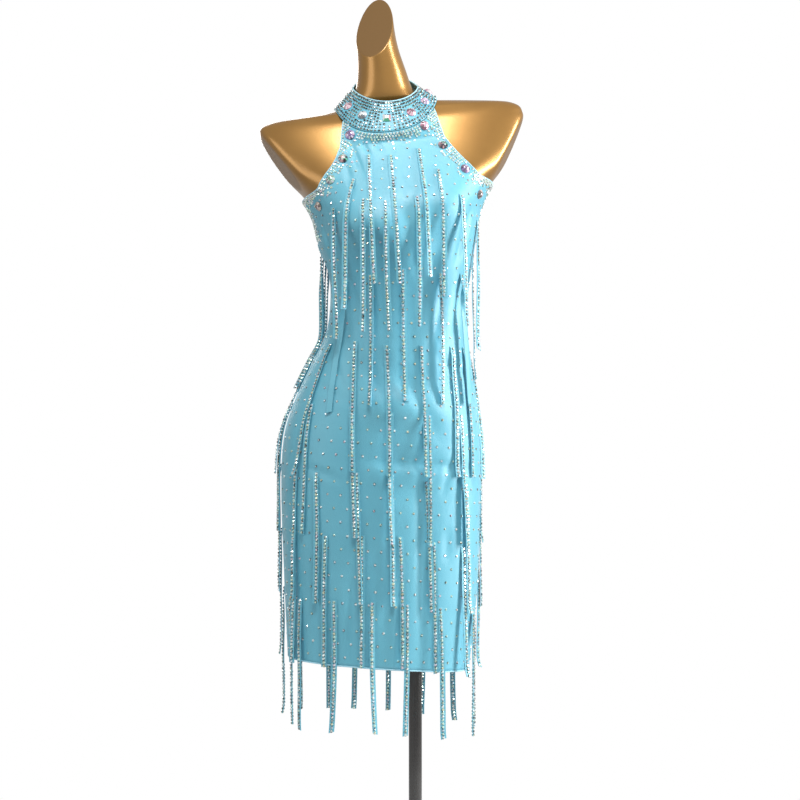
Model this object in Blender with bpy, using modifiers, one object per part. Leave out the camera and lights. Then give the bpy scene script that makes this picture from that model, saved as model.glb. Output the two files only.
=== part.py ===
"""A halter tassel dress on a limbless dress form with a pole and a round base.

Units are metres and +Z is up. The origin is the middle of the base's underside, and the dress faces -Y.
Places on the figure are given by an angle round it, 0 at the centre front and 90 at the +X side,
and by a height on its own axis.
"""

import math
from collections import namedtuple

import bmesh
import bpy
from mathutils import Matrix, Vector
from mathutils.bvhtree import BVHTree

MM = 0.001

# Figure: sections of the torso from the skirt's hem to the neck, in millimetres.
# height, centre x and y, half width, depths before and behind the centre, squareness,
# roll (rise per millimetre towards +X)
Section = namedtuple("Section", "height x y half front back square roll")
SECTIONS = [
    Section(400, -59, 8, 136, 98, 100, 2.30, -0.075),
    Section(450, -58.5, 8, 139, 99, 102, 2.30, -0.075),
    Section(570, -55, 8, 148, 100, 106, 2.30, -0.075),
    Section(720, -54.5, 6, 153, 98, 110, 2.25, -0.070),
    Section(800, -52, 4, 150, 95, 110, 2.20, -0.060),
    Section(860, -46, 2, 137.5, 91, 101, 2.15, -0.045),
    Section(915, -37.5, 0, 122, 86, 88, 2.10, -0.025),
    Section(965, -29, -2, 107.5, 81, 76, 2.10, -0.010),
    Section(1015, -26, -3, 103, 79, 70, 2.10, 0.010),
    Section(1065, -24, -3, 107, 83, 75, 2.15, 0.035),
    Section(1115, -28.5, -2, 120, 90, 86, 2.20, 0.060),
    Section(1165, -29.5, 1, 132, 94, 96, 2.20, 0.075),
    Section(1200, -30, 5, 155, 86, 98, 2.20, 0.080),
    Section(1235, -32, 9, 196, 74, 93, 2.20, 0.080),
    Section(1270, -36, 12, 217, 60, 84, 2.20, 0.075),
    Section(1306, -39, 14, 214, 47, 72, 2.15, 0.095),
    Section(1323.5, -39, 15, 192, 36.5, 62, 2.10, 0.105),
    Section(1330, -41, 16, 126, 32.5, 56, 2.00, 0.120),
    Section(1335, -46, 16, 74, 34, 52, 2.00, 0.120),
    Section(1346, -48, 15, 57, 38, 50, 2.00, 0.060),
    Section(1358, -50, 13, 47, 42, 47, 2.00, 0.030),
    Section(1390, -54, 10, 39, 40, 42, 2.00, 0.000),
    Section(1430, -60.5, 7, 34, 38, 38, 2.00, 0.000),
    Section(1470, -63, 5, 32, 37, 37, 2.00, 0.000),
    Section(1530, -60, 4, 31, 36, 36, 2.00, 0.000),
]
YAW = math.radians(6)
BUST_ANGLE, BUST_HEIGHT = 33, 1158
BUST_RISE, BUST_SPREAD, BUST_TALL = 19, 24, 52
HALVINGS, HEIGHT_ROUNDS = 30, 8

# Dress form: the torso's range, and its three flat cuts, each by a point on its plane, the plane's
# outward normal and the size of the block that is taken away there.
FORM_COLUMNS = 32
FORM_ROWS = [
    690, 740, 790, 830, 870, 915, 965, 1015, 1065, 1110, 1145, 1175, 1200, 1222, 1245, 1270,
    1290, 1307, 1318, 1325, 1330, 1335, 1343, 1352, 1370, 1395, 1430, 1470, 1500, 1526,
]
Cut = namedtuple("Cut", "name place normal size")
FORM_CUTS = [
    Cut("cut_left", (-216, 10, 1236), (-0.78, -0.28, -0.58), 176),
    Cut("cut_right", (148, 20, 1268), (0.92, -0.10, -0.40), 196),
    Cut("cut_neck", (-62, 6, 1461), (-0.62, -1.25, 1.0), 240),
]
SHARP_ANGLE = math.radians(40)

# Pole and base, in millimetres.
POLE_DIAMETER = 21
POLE_SIDES = 24
BASE_RADIUS, BASE_THICK, BASE_BEVEL = 155, 9, 2.5
BASE_SIDES = 48
SEAM_GAP = 0.3

# Cloth, in millimetres: the ease is the room between the form and the inside of the cloth.
EASE = 5.0
WALL = 1.2
HEM, UNDERARM = 443, 1188
COLUMN_STEP = 10
COLUMNS = 180 // COLUMN_STEP
FRONT_ROWS = [HEM, 475, 520, 565, 610, 655, 700, 740, 780, 820, 860, 895, 930, 965, 1000, 1035,
              1070, 1100, 1128, 1150, 1170]
ROW_DIP, ROW_DIP_START = 48, 1000
BACK_ROWS = 17
SIDE_TOP, OPEN_BACK_TOP, OPEN_BACK_CURVE = 1118, 1040, 0.8
SIDE_SEAM = 90
SEAM_ANGLE = 0.08
COLLAR_SEAM = 1.2

# Where the cloth stands off the figure at the front: by how much, and the spread round and up.
Bridge = namedtuple("Bridge", "amount spread height tall")
BRIDGES = [Bridge(9, 17, BUST_HEIGHT, 58), Bridge(6, 50, 1085, 34)]

# Front armholes, from the underarm to the collar: the edge's place on each side.
Edge = namedtuple("Edge", "left_x left_height right_x right_height")
ARMHOLES = [
    Edge(-160, 1199, 107, 1204),
    Edge(-149, 1213, 94, 1215),
    Edge(-136, 1231, 77, 1233),
    Edge(-126, 1247, 60, 1253),
    Edge(-119, 1264, 46, 1272),
]
ARMHOLE_TURN = 9

# Collar: its two rims. Heights run from the middle of the rim to its front, sides and back.
Rim = namedtuple("Rim", "x y half front back square height roll front_drop back_rise")
COLLAR_BOTTOM = Rim(-48, 8, 82, 69, 67, 2.5, 1338, 0.13, 54, 8)
COLLAR_TOP = Rim(-48, 10, 52, 52, 52, 2.0, 1363, 0.058, 29, 29)
RIM_BEND = 1.3
COLLAR_WALL = 1.3
COLLAR_STEPS, COLLAR_ROWS = 36, 3
COLLAR_LAP, COLLAR_LAP_LIFT = 14, 1.9
COLLAR_LEFT, COLLAR_RIGHT = -56, 60

# Largest folds in the cloth: angle, top and bottom height, drift of the angle, width and depth.
# Each fades in and out over a share of its length.
FOLD_FADE = 0.15
Fold = namedtuple("Fold", "angle top bottom drift width depth")
FOLDS = [
    Fold(-64, 1150, 1060, 10, 5, 2.2),
    Fold(52, 1160, 1085, -8, 5, 2.0),
    Fold(8, 1120, 1030, -4, 9, 1.6),
    Fold(22, 740, 440, -3, 7, 2.6),
    Fold(-20, 620, 440, 4, 8, 2.0),
    Fold(-58, 840, 690, -7, 6, 1.8),
    Fold(64, 960, 840, 12, 6, 2.0),
    Fold(150, 780, 440, 4, 9, 2.6),
    Fold(205, 700, 440, -4, 9, 2.4),
    Fold(180, 1000, 900, 3, 14, 2.2),
]

# Tassel tapes, in millimetres: each tier's tapes by the root's place across, its height and
# the sideways drift of the end.
TAPE_WIDTH, TAPE_THICK, TAPE_LENGTH = 10, 1.0, 205
TAPE_STEPS, STEP_SAMPLES = 6, 4
STRIP_TALL, STRIP_OFF, STRIP_COLUMN_GAP, STRIP_SAMPLES = 4, 0.8, 0.3, 6
TAPE_OFF, TAPE_GAP = 3.2, 1.2
ROOT_SLOPE = 0.12
LATERAL = (-1.1, 0, 1.1)
LAY_ROUNDS = 3
REACH = 300
Root = namedtuple("Root", "x height drift")
FRONT_TIERS = {
    "fringe_front_1": [Root(-97, 1207, -4), Root(-73, 1247, 6), Root(-40, 1247, 12), Root(5, 1258, 12),
                       Root(36, 1224, 3)],
    "fringe_front_2": [Root(-128, 1162, 6), Root(-82, 1174, 1), Root(-46, 1171, 5), Root(1, 1179, 2),
                       Root(71, 1183, 6), Root(98, 1147, 0)],
    "fringe_front_3": [Root(-109, 1048, 4), Root(-70, 1058, 2), Root(-19, 1066, 4), Root(39, 1061, 2),
                       Root(72, 1061, 12)],
    "fringe_front_4": [Root(-133, 951, -12), Root(-94, 955, 4), Root(-46, 948, 4), Root(10, 947, 4),
                       Root(57, 946, 3)],
    "fringe_front_5": [Root(-162, 857, -6), Root(-100, 853, 8), Root(-38, 843, 2), Root(21, 839, 2),
                       Root(70, 839, 5)],
    "fringe_front_6": [Root(-186, 756, -4), Root(-155, 750, 1), Root(-92, 750, 6), Root(-38, 747, 2),
                       Root(17, 736, 7), Root(78, 731, 3)],
    "fringe_front_7": [Root(-190, 655, -3), Root(-140, 652, -2), Root(-83, 652, -1), Root(-24, 650, 3),
                       Root(29, 641, 2), Root(74, 631, 6)],
    "fringe_front_8": [Root(-196, 556, 4), Root(-180, 551, 0), Root(-127, 551, -3), Root(-67, 549, 4),
                       Root(-14, 545, -3), Root(38, 538, 3), Root(90, 534, 0)],
}
BACK_TIERS = {
    "fringe_back_4": [Root(-112, 949, 2), Root(-66, 946, 0), Root(-16, 943, 3), Root(32, 941, -2),
                      Root(66, 940, 4)],
    "fringe_back_5": [Root(-158, 856, -5), Root(-98, 852, 3), Root(-40, 847, 0), Root(18, 843, 4),
                      Root(76, 838, 3)],
    "fringe_back_6": [Root(-176, 758, -2), Root(-126, 753, 0), Root(-68, 748, 4), Root(-10, 744, -3),
                      Root(46, 738, 2), Root(88, 734, 3)],
    "fringe_back_7": [Root(-186, 657, 2), Root(-152, 654, -2), Root(-96, 650, 3), Root(-38, 646, 0),
                      Root(20, 641, -3), Root(74, 636, 2)],
    "fringe_back_8": [Root(-184, 562, 0), Root(-143, 560, 2), Root(-98, 556, -2), Root(-46, 552, 2),
                      Root(12, 547, -2), Root(62, 540, 0)],
}

# Each back tier also has a tape at either side, just behind the seam.
SIDE_ANGLES = (98, 262)

# Tapes along the edge of the open back, by angle, with their roots below the edge.
BACK_EDGE, BACK_EDGE_DROP = "fringe_back_3", 9
BACK_EDGE_ANGLES = [97, 112, 130, 154, 180, 206, 230, 248, 262]

# Large stones: on the collar by angle and share of its height, beside the armholes by place.
STONE_RADIUS, STONE_TALL, STONE_TABLE = 6.2, 4.2, 0.55
STONE_OFF = 0.66
STONE_SIDES, RIM_SAMPLES = 10, 16
COLLAR_STONES = {"stone_collar_1": -64, "stone_collar_2": -34, "stone_collar_3": 28,
                 "stone_collar_4": 58, "stone_collar_5": 88}
CENTRE_STONE, CENTRE_STONE_ANGLE = "stone_collar_centre", -2
CENTRE_STONE_RADIUS, CENTRE_STONE_SPIN = 7.4, 45
COLLAR_STONE_SHARE = 0.45
ARMHOLE_STONES = {
    "stone_left_1": (-103, 1279), "stone_left_2": (-114, 1240), "stone_left_3": (-133, 1206),
    "stone_left_4": (-152, 1166), "stone_right_1": (14, 1295), "stone_right_2": (43, 1264),
    "stone_right_3": (78, 1225), "stone_right_4": (101, 1187),
}

SATIN = ("turquoise satin", (0.19, 0.60, 0.80), 0.42, 0.0)
GOLD = ("gold paint", (0.50, 0.31, 0.12), 0.28, 0.75)
DARK_METAL = ("dark metal", (0.09, 0.09, 0.10), 0.35, 0.9)
CRYSTAL = ("crystal", (0.85, 0.87, 0.90), 0.08, 0.2)


def clear_scene():
    for old in list(bpy.data.objects):
        bpy.data.objects.remove(old)


def collection(name):
    made = bpy.data.collections.new(name)
    bpy.context.scene.collection.children.link(made)
    return made


def material(name, colour, roughness, metallic):
    made = bpy.data.materials.get(name) or bpy.data.materials.new(name)
    made.use_nodes = True
    made.diffuse_color = (*colour, 1)
    shader = made.node_tree.nodes["Principled BSDF"]
    shader.inputs["Base Color"].default_value = (*colour, 1)
    shader.inputs["Roughness"].default_value = roughness
    shader.inputs["Metallic"].default_value = metallic
    return made


def smooth_between(rows, key, place):
    """The value that a smooth curve through the table's rows has at this place, for each column."""
    places = [getattr(row, key) for row in rows]
    place = min(max(place, places[0]), places[-1])
    i = min(max(j for j, p in enumerate(places) if p <= place), len(rows) - 2)
    before, after = max(i - 1, 0), min(i + 2, len(rows) - 1)
    span = places[i + 1] - places[i]
    t = (place - places[i]) / span
    values = []
    for a, b, c, d in zip(rows[before], rows[i], rows[i + 1], rows[after]):
        start = (c - a) / (places[i + 1] - places[before]) * span
        end = (d - b) / (places[after] - places[i]) * span
        values.append((2 * t**3 - 3 * t**2 + 1) * b + (t**3 - 2 * t**2 + t) * start
                      + (3 * t**2 - 2 * t**3) * c + (t**3 - t**2) * end)
    return type(rows[0])(*values)


def rounded(value, power):
    return math.copysign(abs(value) ** power, value)


def bell(distance, spread):
    return math.exp(-((distance / spread) ** 2))


def turned(x, y, angle):
    return (x * math.cos(angle) - y * math.sin(angle), x * math.sin(angle) + y * math.cos(angle))


def body_point(angle, height, out=0.0):
    """A point of the figure, in millimetres, moved outwards by out."""
    section = smooth_between(SECTIONS, "height", height)
    across, ahead = math.sin(math.radians(angle)), math.cos(math.radians(angle))
    depth = section.front if ahead > 0 else section.back
    power = 2 / section.square
    x = (section.half + out) * rounded(across, power)
    y = -(depth + out) * rounded(ahead, power)
    wrapped = (angle + 180) % 360 - 180
    mounds = bell(abs(wrapped) - BUST_ANGLE, BUST_SPREAD) * bell(height - BUST_HEIGHT, BUST_TALL)
    y -= BUST_RISE * mounds
    turned_x, turned_y = turned(x, y, YAW)
    return Vector((section.x + turned_x, section.y + turned_y, height + section.roll * x))


def fold_depth(angle, height):
    """How far the folds push the cloth inwards here."""
    wrapped = (angle + 90) % 360 - 90
    total = 0.0
    for fold in FOLDS:
        share = (fold.top - height) / (fold.top - fold.bottom)
        if -FOLD_FADE < share < 1 + FOLD_FADE:
            away = wrapped - fold.angle - fold.drift * share
            starts = min(1.0, (share + FOLD_FADE) / (2 * FOLD_FADE))
            ends = min(1.0, (1 + FOLD_FADE - share) / (2 * FOLD_FADE)) if fold.bottom > HEM else 1.0
            total += fold.depth * starts * ends * bell(away, fold.width)
    return total


def bridge(angle, height):
    """How far the cloth stands off the figure between and below the two sides of the bust."""
    wrapped = (angle + 180) % 360 - 180
    return sum(part.amount * bell(wrapped, part.spread) * bell(height - part.height, part.tall)
               for part in BRIDGES)


def cloth_point(angle, height, out=0.0):
    """A point of the cloth's outer face, moved outwards by out."""
    ease = EASE + WALL + bridge(angle, height) - fold_depth(angle, height)
    return body_point(angle, height, ease + out)


def angle_at(x, height, behind=False):
    """The angle at which the cloth passes a place across, in front or behind."""
    low, high = (SIDE_SEAM, 270) if behind else (-SIDE_SEAM, SIDE_SEAM)
    direction = -1 if behind else 1
    for _ in range(HALVINGS):
        middle = (low + high) / 2
        if (cloth_point(middle, height).x - x) * direction < 0:
            low = middle
        else:
            high = middle
    return (low + high) / 2


def place_at(x, z, behind=False):
    """The angle and the height on the figure of a place across and a real height."""
    height = z
    for _ in range(HEIGHT_ROUNDS):
        angle = angle_at(x, height, behind)
        height += z - cloth_point(angle, height).z
    return angle, height


def out_direction(angle, height):
    """The direction straight out of the cloth at this place."""
    along = cloth_point(angle + 1, height) - cloth_point(angle - 1, height)
    up = cloth_point(angle, height + 3) - cloth_point(angle, height - 3)
    return along.cross(up).normalized()


def open_back(angle):
    """The height of the open back's edge, which falls from the sides to the centre back."""
    share = abs(math.cos(math.radians(angle))) ** OPEN_BACK_CURVE
    return SIDE_TOP + (OPEN_BACK_TOP - SIDE_TOP) * share


def new_object(name, mesh, where, look):
    made = bpy.data.objects.new(name, mesh)
    made.data.materials.append(material(*look))
    where.objects.link(made)
    return made


def sheet_mesh(name, rows):
    """A sheet of four-sided faces through rows of points in millimetres, facing outwards."""
    bm = bmesh.new()
    grid = [[bm.verts.new(point * MM) for point in row] for row in rows]
    for lower, upper in zip(grid, grid[1:]):
        for a, b, c, d in zip(lower, lower[1:], upper[1:], upper):
            bm.faces.new((a, b, c, d))
    mesh = bpy.data.meshes.new(name)
    bm.to_mesh(mesh)
    bm.free()
    mesh.shade_smooth()
    return mesh


def add_wall(obj, thick, offset):
    solidify = obj.modifiers.new("wall", "SOLIDIFY")
    solidify.thickness = thick * MM
    solidify.offset = offset
    solidify.use_even_offset = True
    solidify.use_quality_normals = True


def closed_loft(name, rings):
    """A solid through closed rings of points, with a flat face at each end."""
    bm = bmesh.new()
    grid = [[bm.verts.new(point * MM) for point in ring] for ring in rings]
    for lower, upper in zip(grid, grid[1:]):
        count = len(lower)
        for j in range(count):
            k = (j + 1) % count
            bm.faces.new((lower[j], lower[k], upper[k], upper[j]))
    bm.faces.new(list(reversed(grid[0])))
    bm.faces.new(grid[-1])
    mesh = bpy.data.meshes.new(name)
    bm.to_mesh(mesh)
    bm.free()
    return mesh


def flat_end(ring):
    """The ring with every point at its middle height."""
    level = sum(point.z for point in ring) / len(ring)
    return [Vector((point.x, point.y, level)) for point in ring]


def make_form(parts, cutters):
    angles = [360 * i / FORM_COLUMNS for i in range(FORM_COLUMNS)]
    rings = [[body_point(angle, height) for angle in angles] for height in FORM_ROWS]
    rings[0] = flat_end(rings[0])
    rings[-1] = flat_end(rings[-1])
    form = new_object("dress_form", closed_loft("dress_form", rings), parts, GOLD)
    for cut in FORM_CUTS:
        normal = Vector(cut.normal).normalized()
        bpy.ops.mesh.primitive_cube_add(size=cut.size * MM)
        cutter = bpy.context.active_object
        cutter.name = cut.name
        cutter.location = (Vector(cut.place) + normal * cut.size / 2) * MM
        cutter.rotation_euler = normal.to_track_quat("Z", "Y").to_euler()
        cutter.display_type = "WIRE"
        cutter.hide_render = True
        for old in cutter.users_collection:
            old.objects.unlink(cutter)
        cutters.objects.link(cutter)
        boolean = form.modifiers.new(cut.name, "BOOLEAN")
        boolean.operation = "DIFFERENCE"
        boolean.solver = "EXACT"
        boolean.object = cutter
    form.data.set_sharp_from_angle(angle=SHARP_ANGLE)
    return form, rings[0][0].z


def adopt(obj, name, where, look):
    obj.name = name
    obj.data.name = name
    obj.data.materials.append(material(*look))
    for old in obj.users_collection:
        old.objects.unlink(obj)
    where.objects.link(obj)


def make_stand(parts, form_bottom):
    pole_bottom = BASE_THICK + SEAM_GAP
    pole_length = form_bottom - SEAM_GAP - pole_bottom
    bpy.ops.mesh.primitive_cylinder_add(
        vertices=POLE_SIDES,
        radius=POLE_DIAMETER / 2 * MM,
        depth=pole_length * MM,
        location=(0, 0, (pole_bottom + pole_length / 2) * MM),
    )
    adopt(bpy.context.active_object, "pole", parts, DARK_METAL)
    bpy.ops.mesh.primitive_cylinder_add(
        vertices=BASE_SIDES,
        radius=BASE_RADIUS * MM,
        depth=BASE_THICK * MM,
        location=(0, 0, BASE_THICK / 2 * MM),
    )
    base = bpy.context.active_object
    adopt(base, "base", parts, DARK_METAL)
    bevel = base.modifiers.new("rim", "BEVEL")
    bevel.width = BASE_BEVEL * MM
    bevel.segments = 1
    bevel.limit_method = "ANGLE"


def rim_point(rim, angle, out=0.0):
    """A point of one rim of the collar, moved outwards by out."""
    across, ahead = math.sin(math.radians(angle)), math.cos(math.radians(angle))
    power = 2 / rim.square
    depth = rim.front if ahead > 0 else rim.back
    x = (rim.half + out) * rounded(across, power)
    y = -(depth + out) * rounded(ahead, power)
    rise = (rim.front_drop if ahead > 0 else rim.back_rise) * rounded(ahead, RIM_BEND)
    turned_x, turned_y = turned(x, y, YAW)
    return Vector((rim.x + turned_x, rim.y + turned_y, rim.height + rim.roll * x - rise))


def collar_point(angle, share, out=0.0):
    """A point of the collar's outer face, at a share of the way from its seam to its top."""
    return rim_point(COLLAR_BOTTOM, angle, out).lerp(rim_point(COLLAR_TOP, angle, out), share)


def make_collar(parts):
    lap = math.degrees(COLLAR_LAP / COLLAR_TOP.half)
    angles = [-180 + (360 + lap) * i / COLLAR_STEPS for i in range(COLLAR_STEPS + 1)]
    rows = []
    for row in range(COLLAR_ROWS + 1):
        points = []
        for angle in angles:
            lift = COLLAR_LAP_LIFT * min(1.0, max(0.0, (angle - 180 + 2 * lap) / (2 * lap)))
            points.append(collar_point(angle, row / COLLAR_ROWS, lift))
        rows.append(points)
    collar = new_object("collar", sheet_mesh("collar", rows), parts, SATIN)
    add_wall(collar, COLLAR_WALL, -1)
    return collar


def ring_angle(rim, x):
    return math.degrees(math.asin(rounded(x / rim.half, rim.square / 2)))


def ring_across(rim, angle):
    return rim.half * rounded(math.sin(math.radians(angle)), 2 / rim.square)


def seam_row():
    """The front panel's top edge, just under the collar."""
    ends = [ring_across(COLLAR_BOTTOM, angle) for angle in (COLLAR_LEFT, COLLAR_RIGHT)]
    points = []
    for i in range(COLUMNS + 1):
        angle = ring_angle(COLLAR_BOTTOM, ends[0] + (ends[1] - ends[0]) * i / COLUMNS)
        down = (rim_point(COLLAR_BOTTOM, angle) - rim_point(COLLAR_TOP, angle)).normalized()
        points.append(rim_point(COLLAR_BOTTOM, angle) + down * COLLAR_SEAM)
    return points


def armhole_edges():
    """Both ends of each row above the underarm, as angles and heights, close enough to bend smoothly."""
    side = SIDE_SEAM - SEAM_ANGLE
    ends = [(-side, UNDERARM - 1, side, UNDERARM + 1)]
    for edge in ARMHOLES:
        ends.append((angle_at(edge.left_x, edge.left_height), edge.left_height,
                     angle_at(edge.right_x, edge.right_height), edge.right_height))
    rows = [ends[0]]
    for lower, upper in zip(ends, ends[1:]):
        count = max(1, math.ceil((upper[0] - lower[0]) / ARMHOLE_TURN))
        for i in range(1, count + 1):
            rows.append([a + (b - a) * i / count for a, b in zip(lower, upper)])
    return rows


def dipped_row(left, left_height, right, right_height, middle):
    """A row across the front between two places on its sides, lower or higher at its middle."""
    dip = (left_height + right_height) / 2 - middle
    points = []
    for i in range(COLUMNS + 1):
        share = i / COLUMNS
        height = left_height + (right_height - left_height) * share - dip * math.sin(math.pi * share)
        points.append(cloth_point(left + (right - left) * share, height))
    return points


def front_rows():
    """The front's rows, which dip more and more towards the underarm to meet the armholes squarely."""
    side = SIDE_SEAM - SEAM_ANGLE
    rows = []
    for height in FRONT_ROWS:
        share = max(0.0, (height - ROW_DIP_START) / (UNDERARM - ROW_DIP_START))
        rows.append(dipped_row(-side, height, side, height, height - ROW_DIP * share**2))
    edges, seam = armhole_edges(), seam_row()
    low, high = UNDERARM - ROW_DIP, min(point.z for point in seam)
    for number, edge in enumerate(edges):
        rows.append(dipped_row(*edge, low + (high - low) * number / len(edges)))
    return rows + [seam]


def back_rows():
    side = SIDE_SEAM + SEAM_ANGLE
    angles = [side + (360 - 2 * side) * i / COLUMNS for i in range(COLUMNS + 1)]
    return [[cloth_point(angle, HEM + (open_back(angle) - HEM) * row / BACK_ROWS) for angle in angles]
            for row in range(BACK_ROWS + 1)]


def make_panel(parts, name, rows):
    panel = new_object(name, sheet_mesh(name, rows), parts, SATIN)
    add_wall(panel, WALL, -1)
    return panel


def tree_of(objects):
    """The outer faces of these objects, in millimetres, for measuring how far out they reach."""
    points, faces = [], []
    for obj in objects:
        first = len(points)
        points += [vertex.co / MM for vertex in obj.data.vertices]
        faces += [[first + index for index in face.vertices] for face in obj.data.polygons]
    return BVHTree.FromPolygons(points, faces)


def moved_out(tree, place, away, out):
    """The place put on the faces that it meets along a direction, then moved out, or none."""
    hit = tree.ray_cast(place + away * REACH, -away, 2 * REACH)[0]
    return hit and hit + away * out


def strip_rows(tree, columns):
    """The strip's lower and upper points, far enough out that all of it clears the cloth."""
    aways = [out_direction(angle, height) for angle, height in columns]
    lows = [moved_out(tree, cloth_point(*column), away, STRIP_OFF) for column, away in zip(columns, aways)]
    highs = [moved_out(tree, cloth_point(angle, height + STRIP_TALL), away, STRIP_OFF)
             for (angle, height), away in zip(columns, aways)]
    lifts = [0.0] * len(columns)
    shares = [i / STRIP_SAMPLES for i in range(STRIP_SAMPLES + 1)]
    for j in range(len(columns) - 1):
        away = (aways[j] + aways[j + 1]).normalized()
        for across in shares:
            low, high = lows[j].lerp(lows[j + 1], across), highs[j].lerp(highs[j + 1], across)
            for up in shares:
                point = low.lerp(high, up)
                short = (moved_out(tree, point, away, STRIP_OFF) - point).dot(away)
                lifts[j], lifts[j + 1] = max(lifts[j], short), max(lifts[j + 1], short)
    moves = [away * lift for away, lift in zip(aways, lifts)]
    return [[point + move for point, move in zip(row, moves)] for row in (lows, highs)]


def half_angle(angle, height):
    """The angle that half of a tape's width takes up round the figure."""
    step = (cloth_point(angle + 1, height) - cloth_point(angle - 1, height)).length / 2
    return TAPE_WIDTH / 2 / step


def strip_columns(placed):
    """The strip's columns: both edges of each tape, and the panels' own columns in between."""
    columns = []
    for number, (angle, height, _) in enumerate(placed):
        half = half_angle(angle, height)
        if number:
            start, start_height = columns[-1]
            end = angle - half
            column = math.ceil(start / COLUMN_STEP) * COLUMN_STEP
            while column < end:
                if min(column - start, end - column) > STRIP_COLUMN_GAP:
                    share = (column - start) / (end - start)
                    columns.append((column, start_height + (height - start_height) * share))
                column += COLUMN_STEP
        columns += [(angle - half, height), (angle + half, height)]
    return columns


def tape_points(tree, lower, root, away, drift):
    """The middle of a tape that hangs from its root.

    It falls straight, and lies on the cloth and on the lower tiers where it meets them.
    """
    across = Vector((-away.y, away.x, 0)) * TAPE_WIDTH / 2
    samples = TAPE_STEPS * STEP_SAMPLES
    plumb, needs = [], []
    for i in range(samples + 1):
        fallen = TAPE_LENGTH * i / samples
        point = root + Vector((drift * i / samples, 0, -fallen))
        off = min(TAPE_OFF, STRIP_OFF + ROOT_SLOPE * fallen)
        places = [moved_out(tree, point + across * side, away, off) for side in LATERAL]
        places += [moved_out(lower, point + across * side, away, TAPE_THICK + TAPE_GAP)
                   for side in LATERAL]
        plumb.append(point)
        needs.append(max([(place - point).dot(away) for place in places if place], default=-REACH))
    out = [0.0] * (TAPE_STEPS + 1)
    for _ in range(LAY_ROUNDS):
        for step in range(1, TAPE_STEPS + 1):
            out[step] = max(out[step], out[step - 1])
            for k in range(1, STEP_SAMPLES + 1):
                share = k / STEP_SAMPLES
                chord = out[step - 1] * (1 - share) + out[step] * share
                short = max(0.0, needs[(step - 1) * STEP_SAMPLES + k] - chord)
                if share < 0.5 and step > 1:
                    out[step - 1] += short / (1 - share)
                else:
                    out[step] += short / share
    return [plumb[step * STEP_SAMPLES] + away * out[step] for step in range(TAPE_STEPS + 1)]


def hang_tape(bm, tree, lower, left, right, tape):
    angle, height, drift = tape
    away = out_direction(angle, height)
    away = Vector((away.x, away.y, 0)).normalized()
    root = (left.co + right.co) / 2 / MM
    across = Vector((-away.y, away.x, 0)) * TAPE_WIDTH / 2
    for point in tape_points(tree, lower, root, away, drift)[1:]:
        next_left = bm.verts.new((point - across) * MM)
        next_right = bm.verts.new((point + across) * MM)
        bm.faces.new((next_left, next_right, right, left))
        left, right = next_left, next_right


def make_fringe(parts, name, tree, lower, placed):
    """A row of tapes whose roots are fused into one narrow strip."""
    bm = bmesh.new()
    columns = strip_columns(placed)
    bottoms, tops = [[bm.verts.new(point * MM) for point in row] for row in strip_rows(tree, columns)]
    for j in range(len(columns) - 1):
        bm.faces.new((bottoms[j], bottoms[j + 1], tops[j + 1], tops[j]))
    for tape in placed:
        edge = tape[0] - half_angle(tape[0], tape[1])
        left = min(range(len(columns)), key=lambda j: abs(columns[j][0] - edge))
        hang_tape(bm, tree, lower, bottoms[left], bottoms[left + 1], tape)
    mesh = bpy.data.meshes.new(name)
    bm.to_mesh(mesh)
    bm.free()
    fringe = new_object(name, mesh, parts, SATIN)
    add_wall(fringe, TAPE_THICK, 1)
    return fringe


def make_tiers(parts, tree, tiers, behind):
    """The tiers of one side, from the lowest up, each of them over the ones below it."""
    placed = {}
    for name, roots in tiers.items():
        placed[name] = sorted((*place_at(root.x, root.height, behind), root.drift) for root in roots)
        if behind:
            near, far = (placed[name][end][1] for end in (0, -1))
            placed[name] = [(SIDE_ANGLES[0], near, 0), *placed[name], (SIDE_ANGLES[1], far, 0)]
    if behind:
        edge = [(angle, open_back(angle) - BACK_EDGE_DROP, 0) for angle in BACK_EDGE_ANGLES]
        placed = {BACK_EDGE: edge, **placed}
    made = []
    for name in reversed(placed):
        made.append(make_fringe(parts, name, tree, tree_of(made), placed[name]))


def make_stone(parts, name, place, normal, radius, sides, spin=0.0):
    """A low faceted stone with a flat back, slanted sides and a flat table."""
    bm = bmesh.new()
    bmesh.ops.create_cone(bm, cap_ends=True, segments=sides, radius1=radius * MM,
                          radius2=radius * STONE_TABLE * MM, depth=STONE_TALL * MM,
                          matrix=Matrix.Rotation(math.radians(spin), 4, "Z"))
    mesh = bpy.data.meshes.new(name)
    bm.to_mesh(mesh)
    bm.free()
    stone = new_object(name, mesh, parts, CRYSTAL)
    stone.location = (place + normal * (STONE_OFF + STONE_TALL / 2)) * MM
    stone.rotation_euler = normal.to_track_quat("Z", "Y").to_euler()


def make_collar_stone(parts, name, tree, angle, radius, sides, spin=0.0):
    along = collar_point(angle + 1, COLLAR_STONE_SHARE) - collar_point(angle - 1, COLLAR_STONE_SHARE)
    up = rim_point(COLLAR_TOP, angle) - rim_point(COLLAR_BOTTOM, angle)
    normal = along.cross(up).normalized()
    place = moved_out(tree, collar_point(angle, COLLAR_STONE_SHARE), normal, 0)
    make_stone(parts, name, place, normal, radius, sides, spin)


def facing_ring(tree, x, z, radius):
    """Points of the front that show in a circle about a place across and up."""
    points = []
    for i in range(RIM_SAMPLES):
        turn = 2 * math.pi * i / RIM_SAMPLES
        start = Vector((x + radius * math.cos(turn), -REACH, z + radius * math.sin(turn)))
        points.append(tree.ray_cast(start, Vector((0, 1, 0)))[0])
    return points


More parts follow.
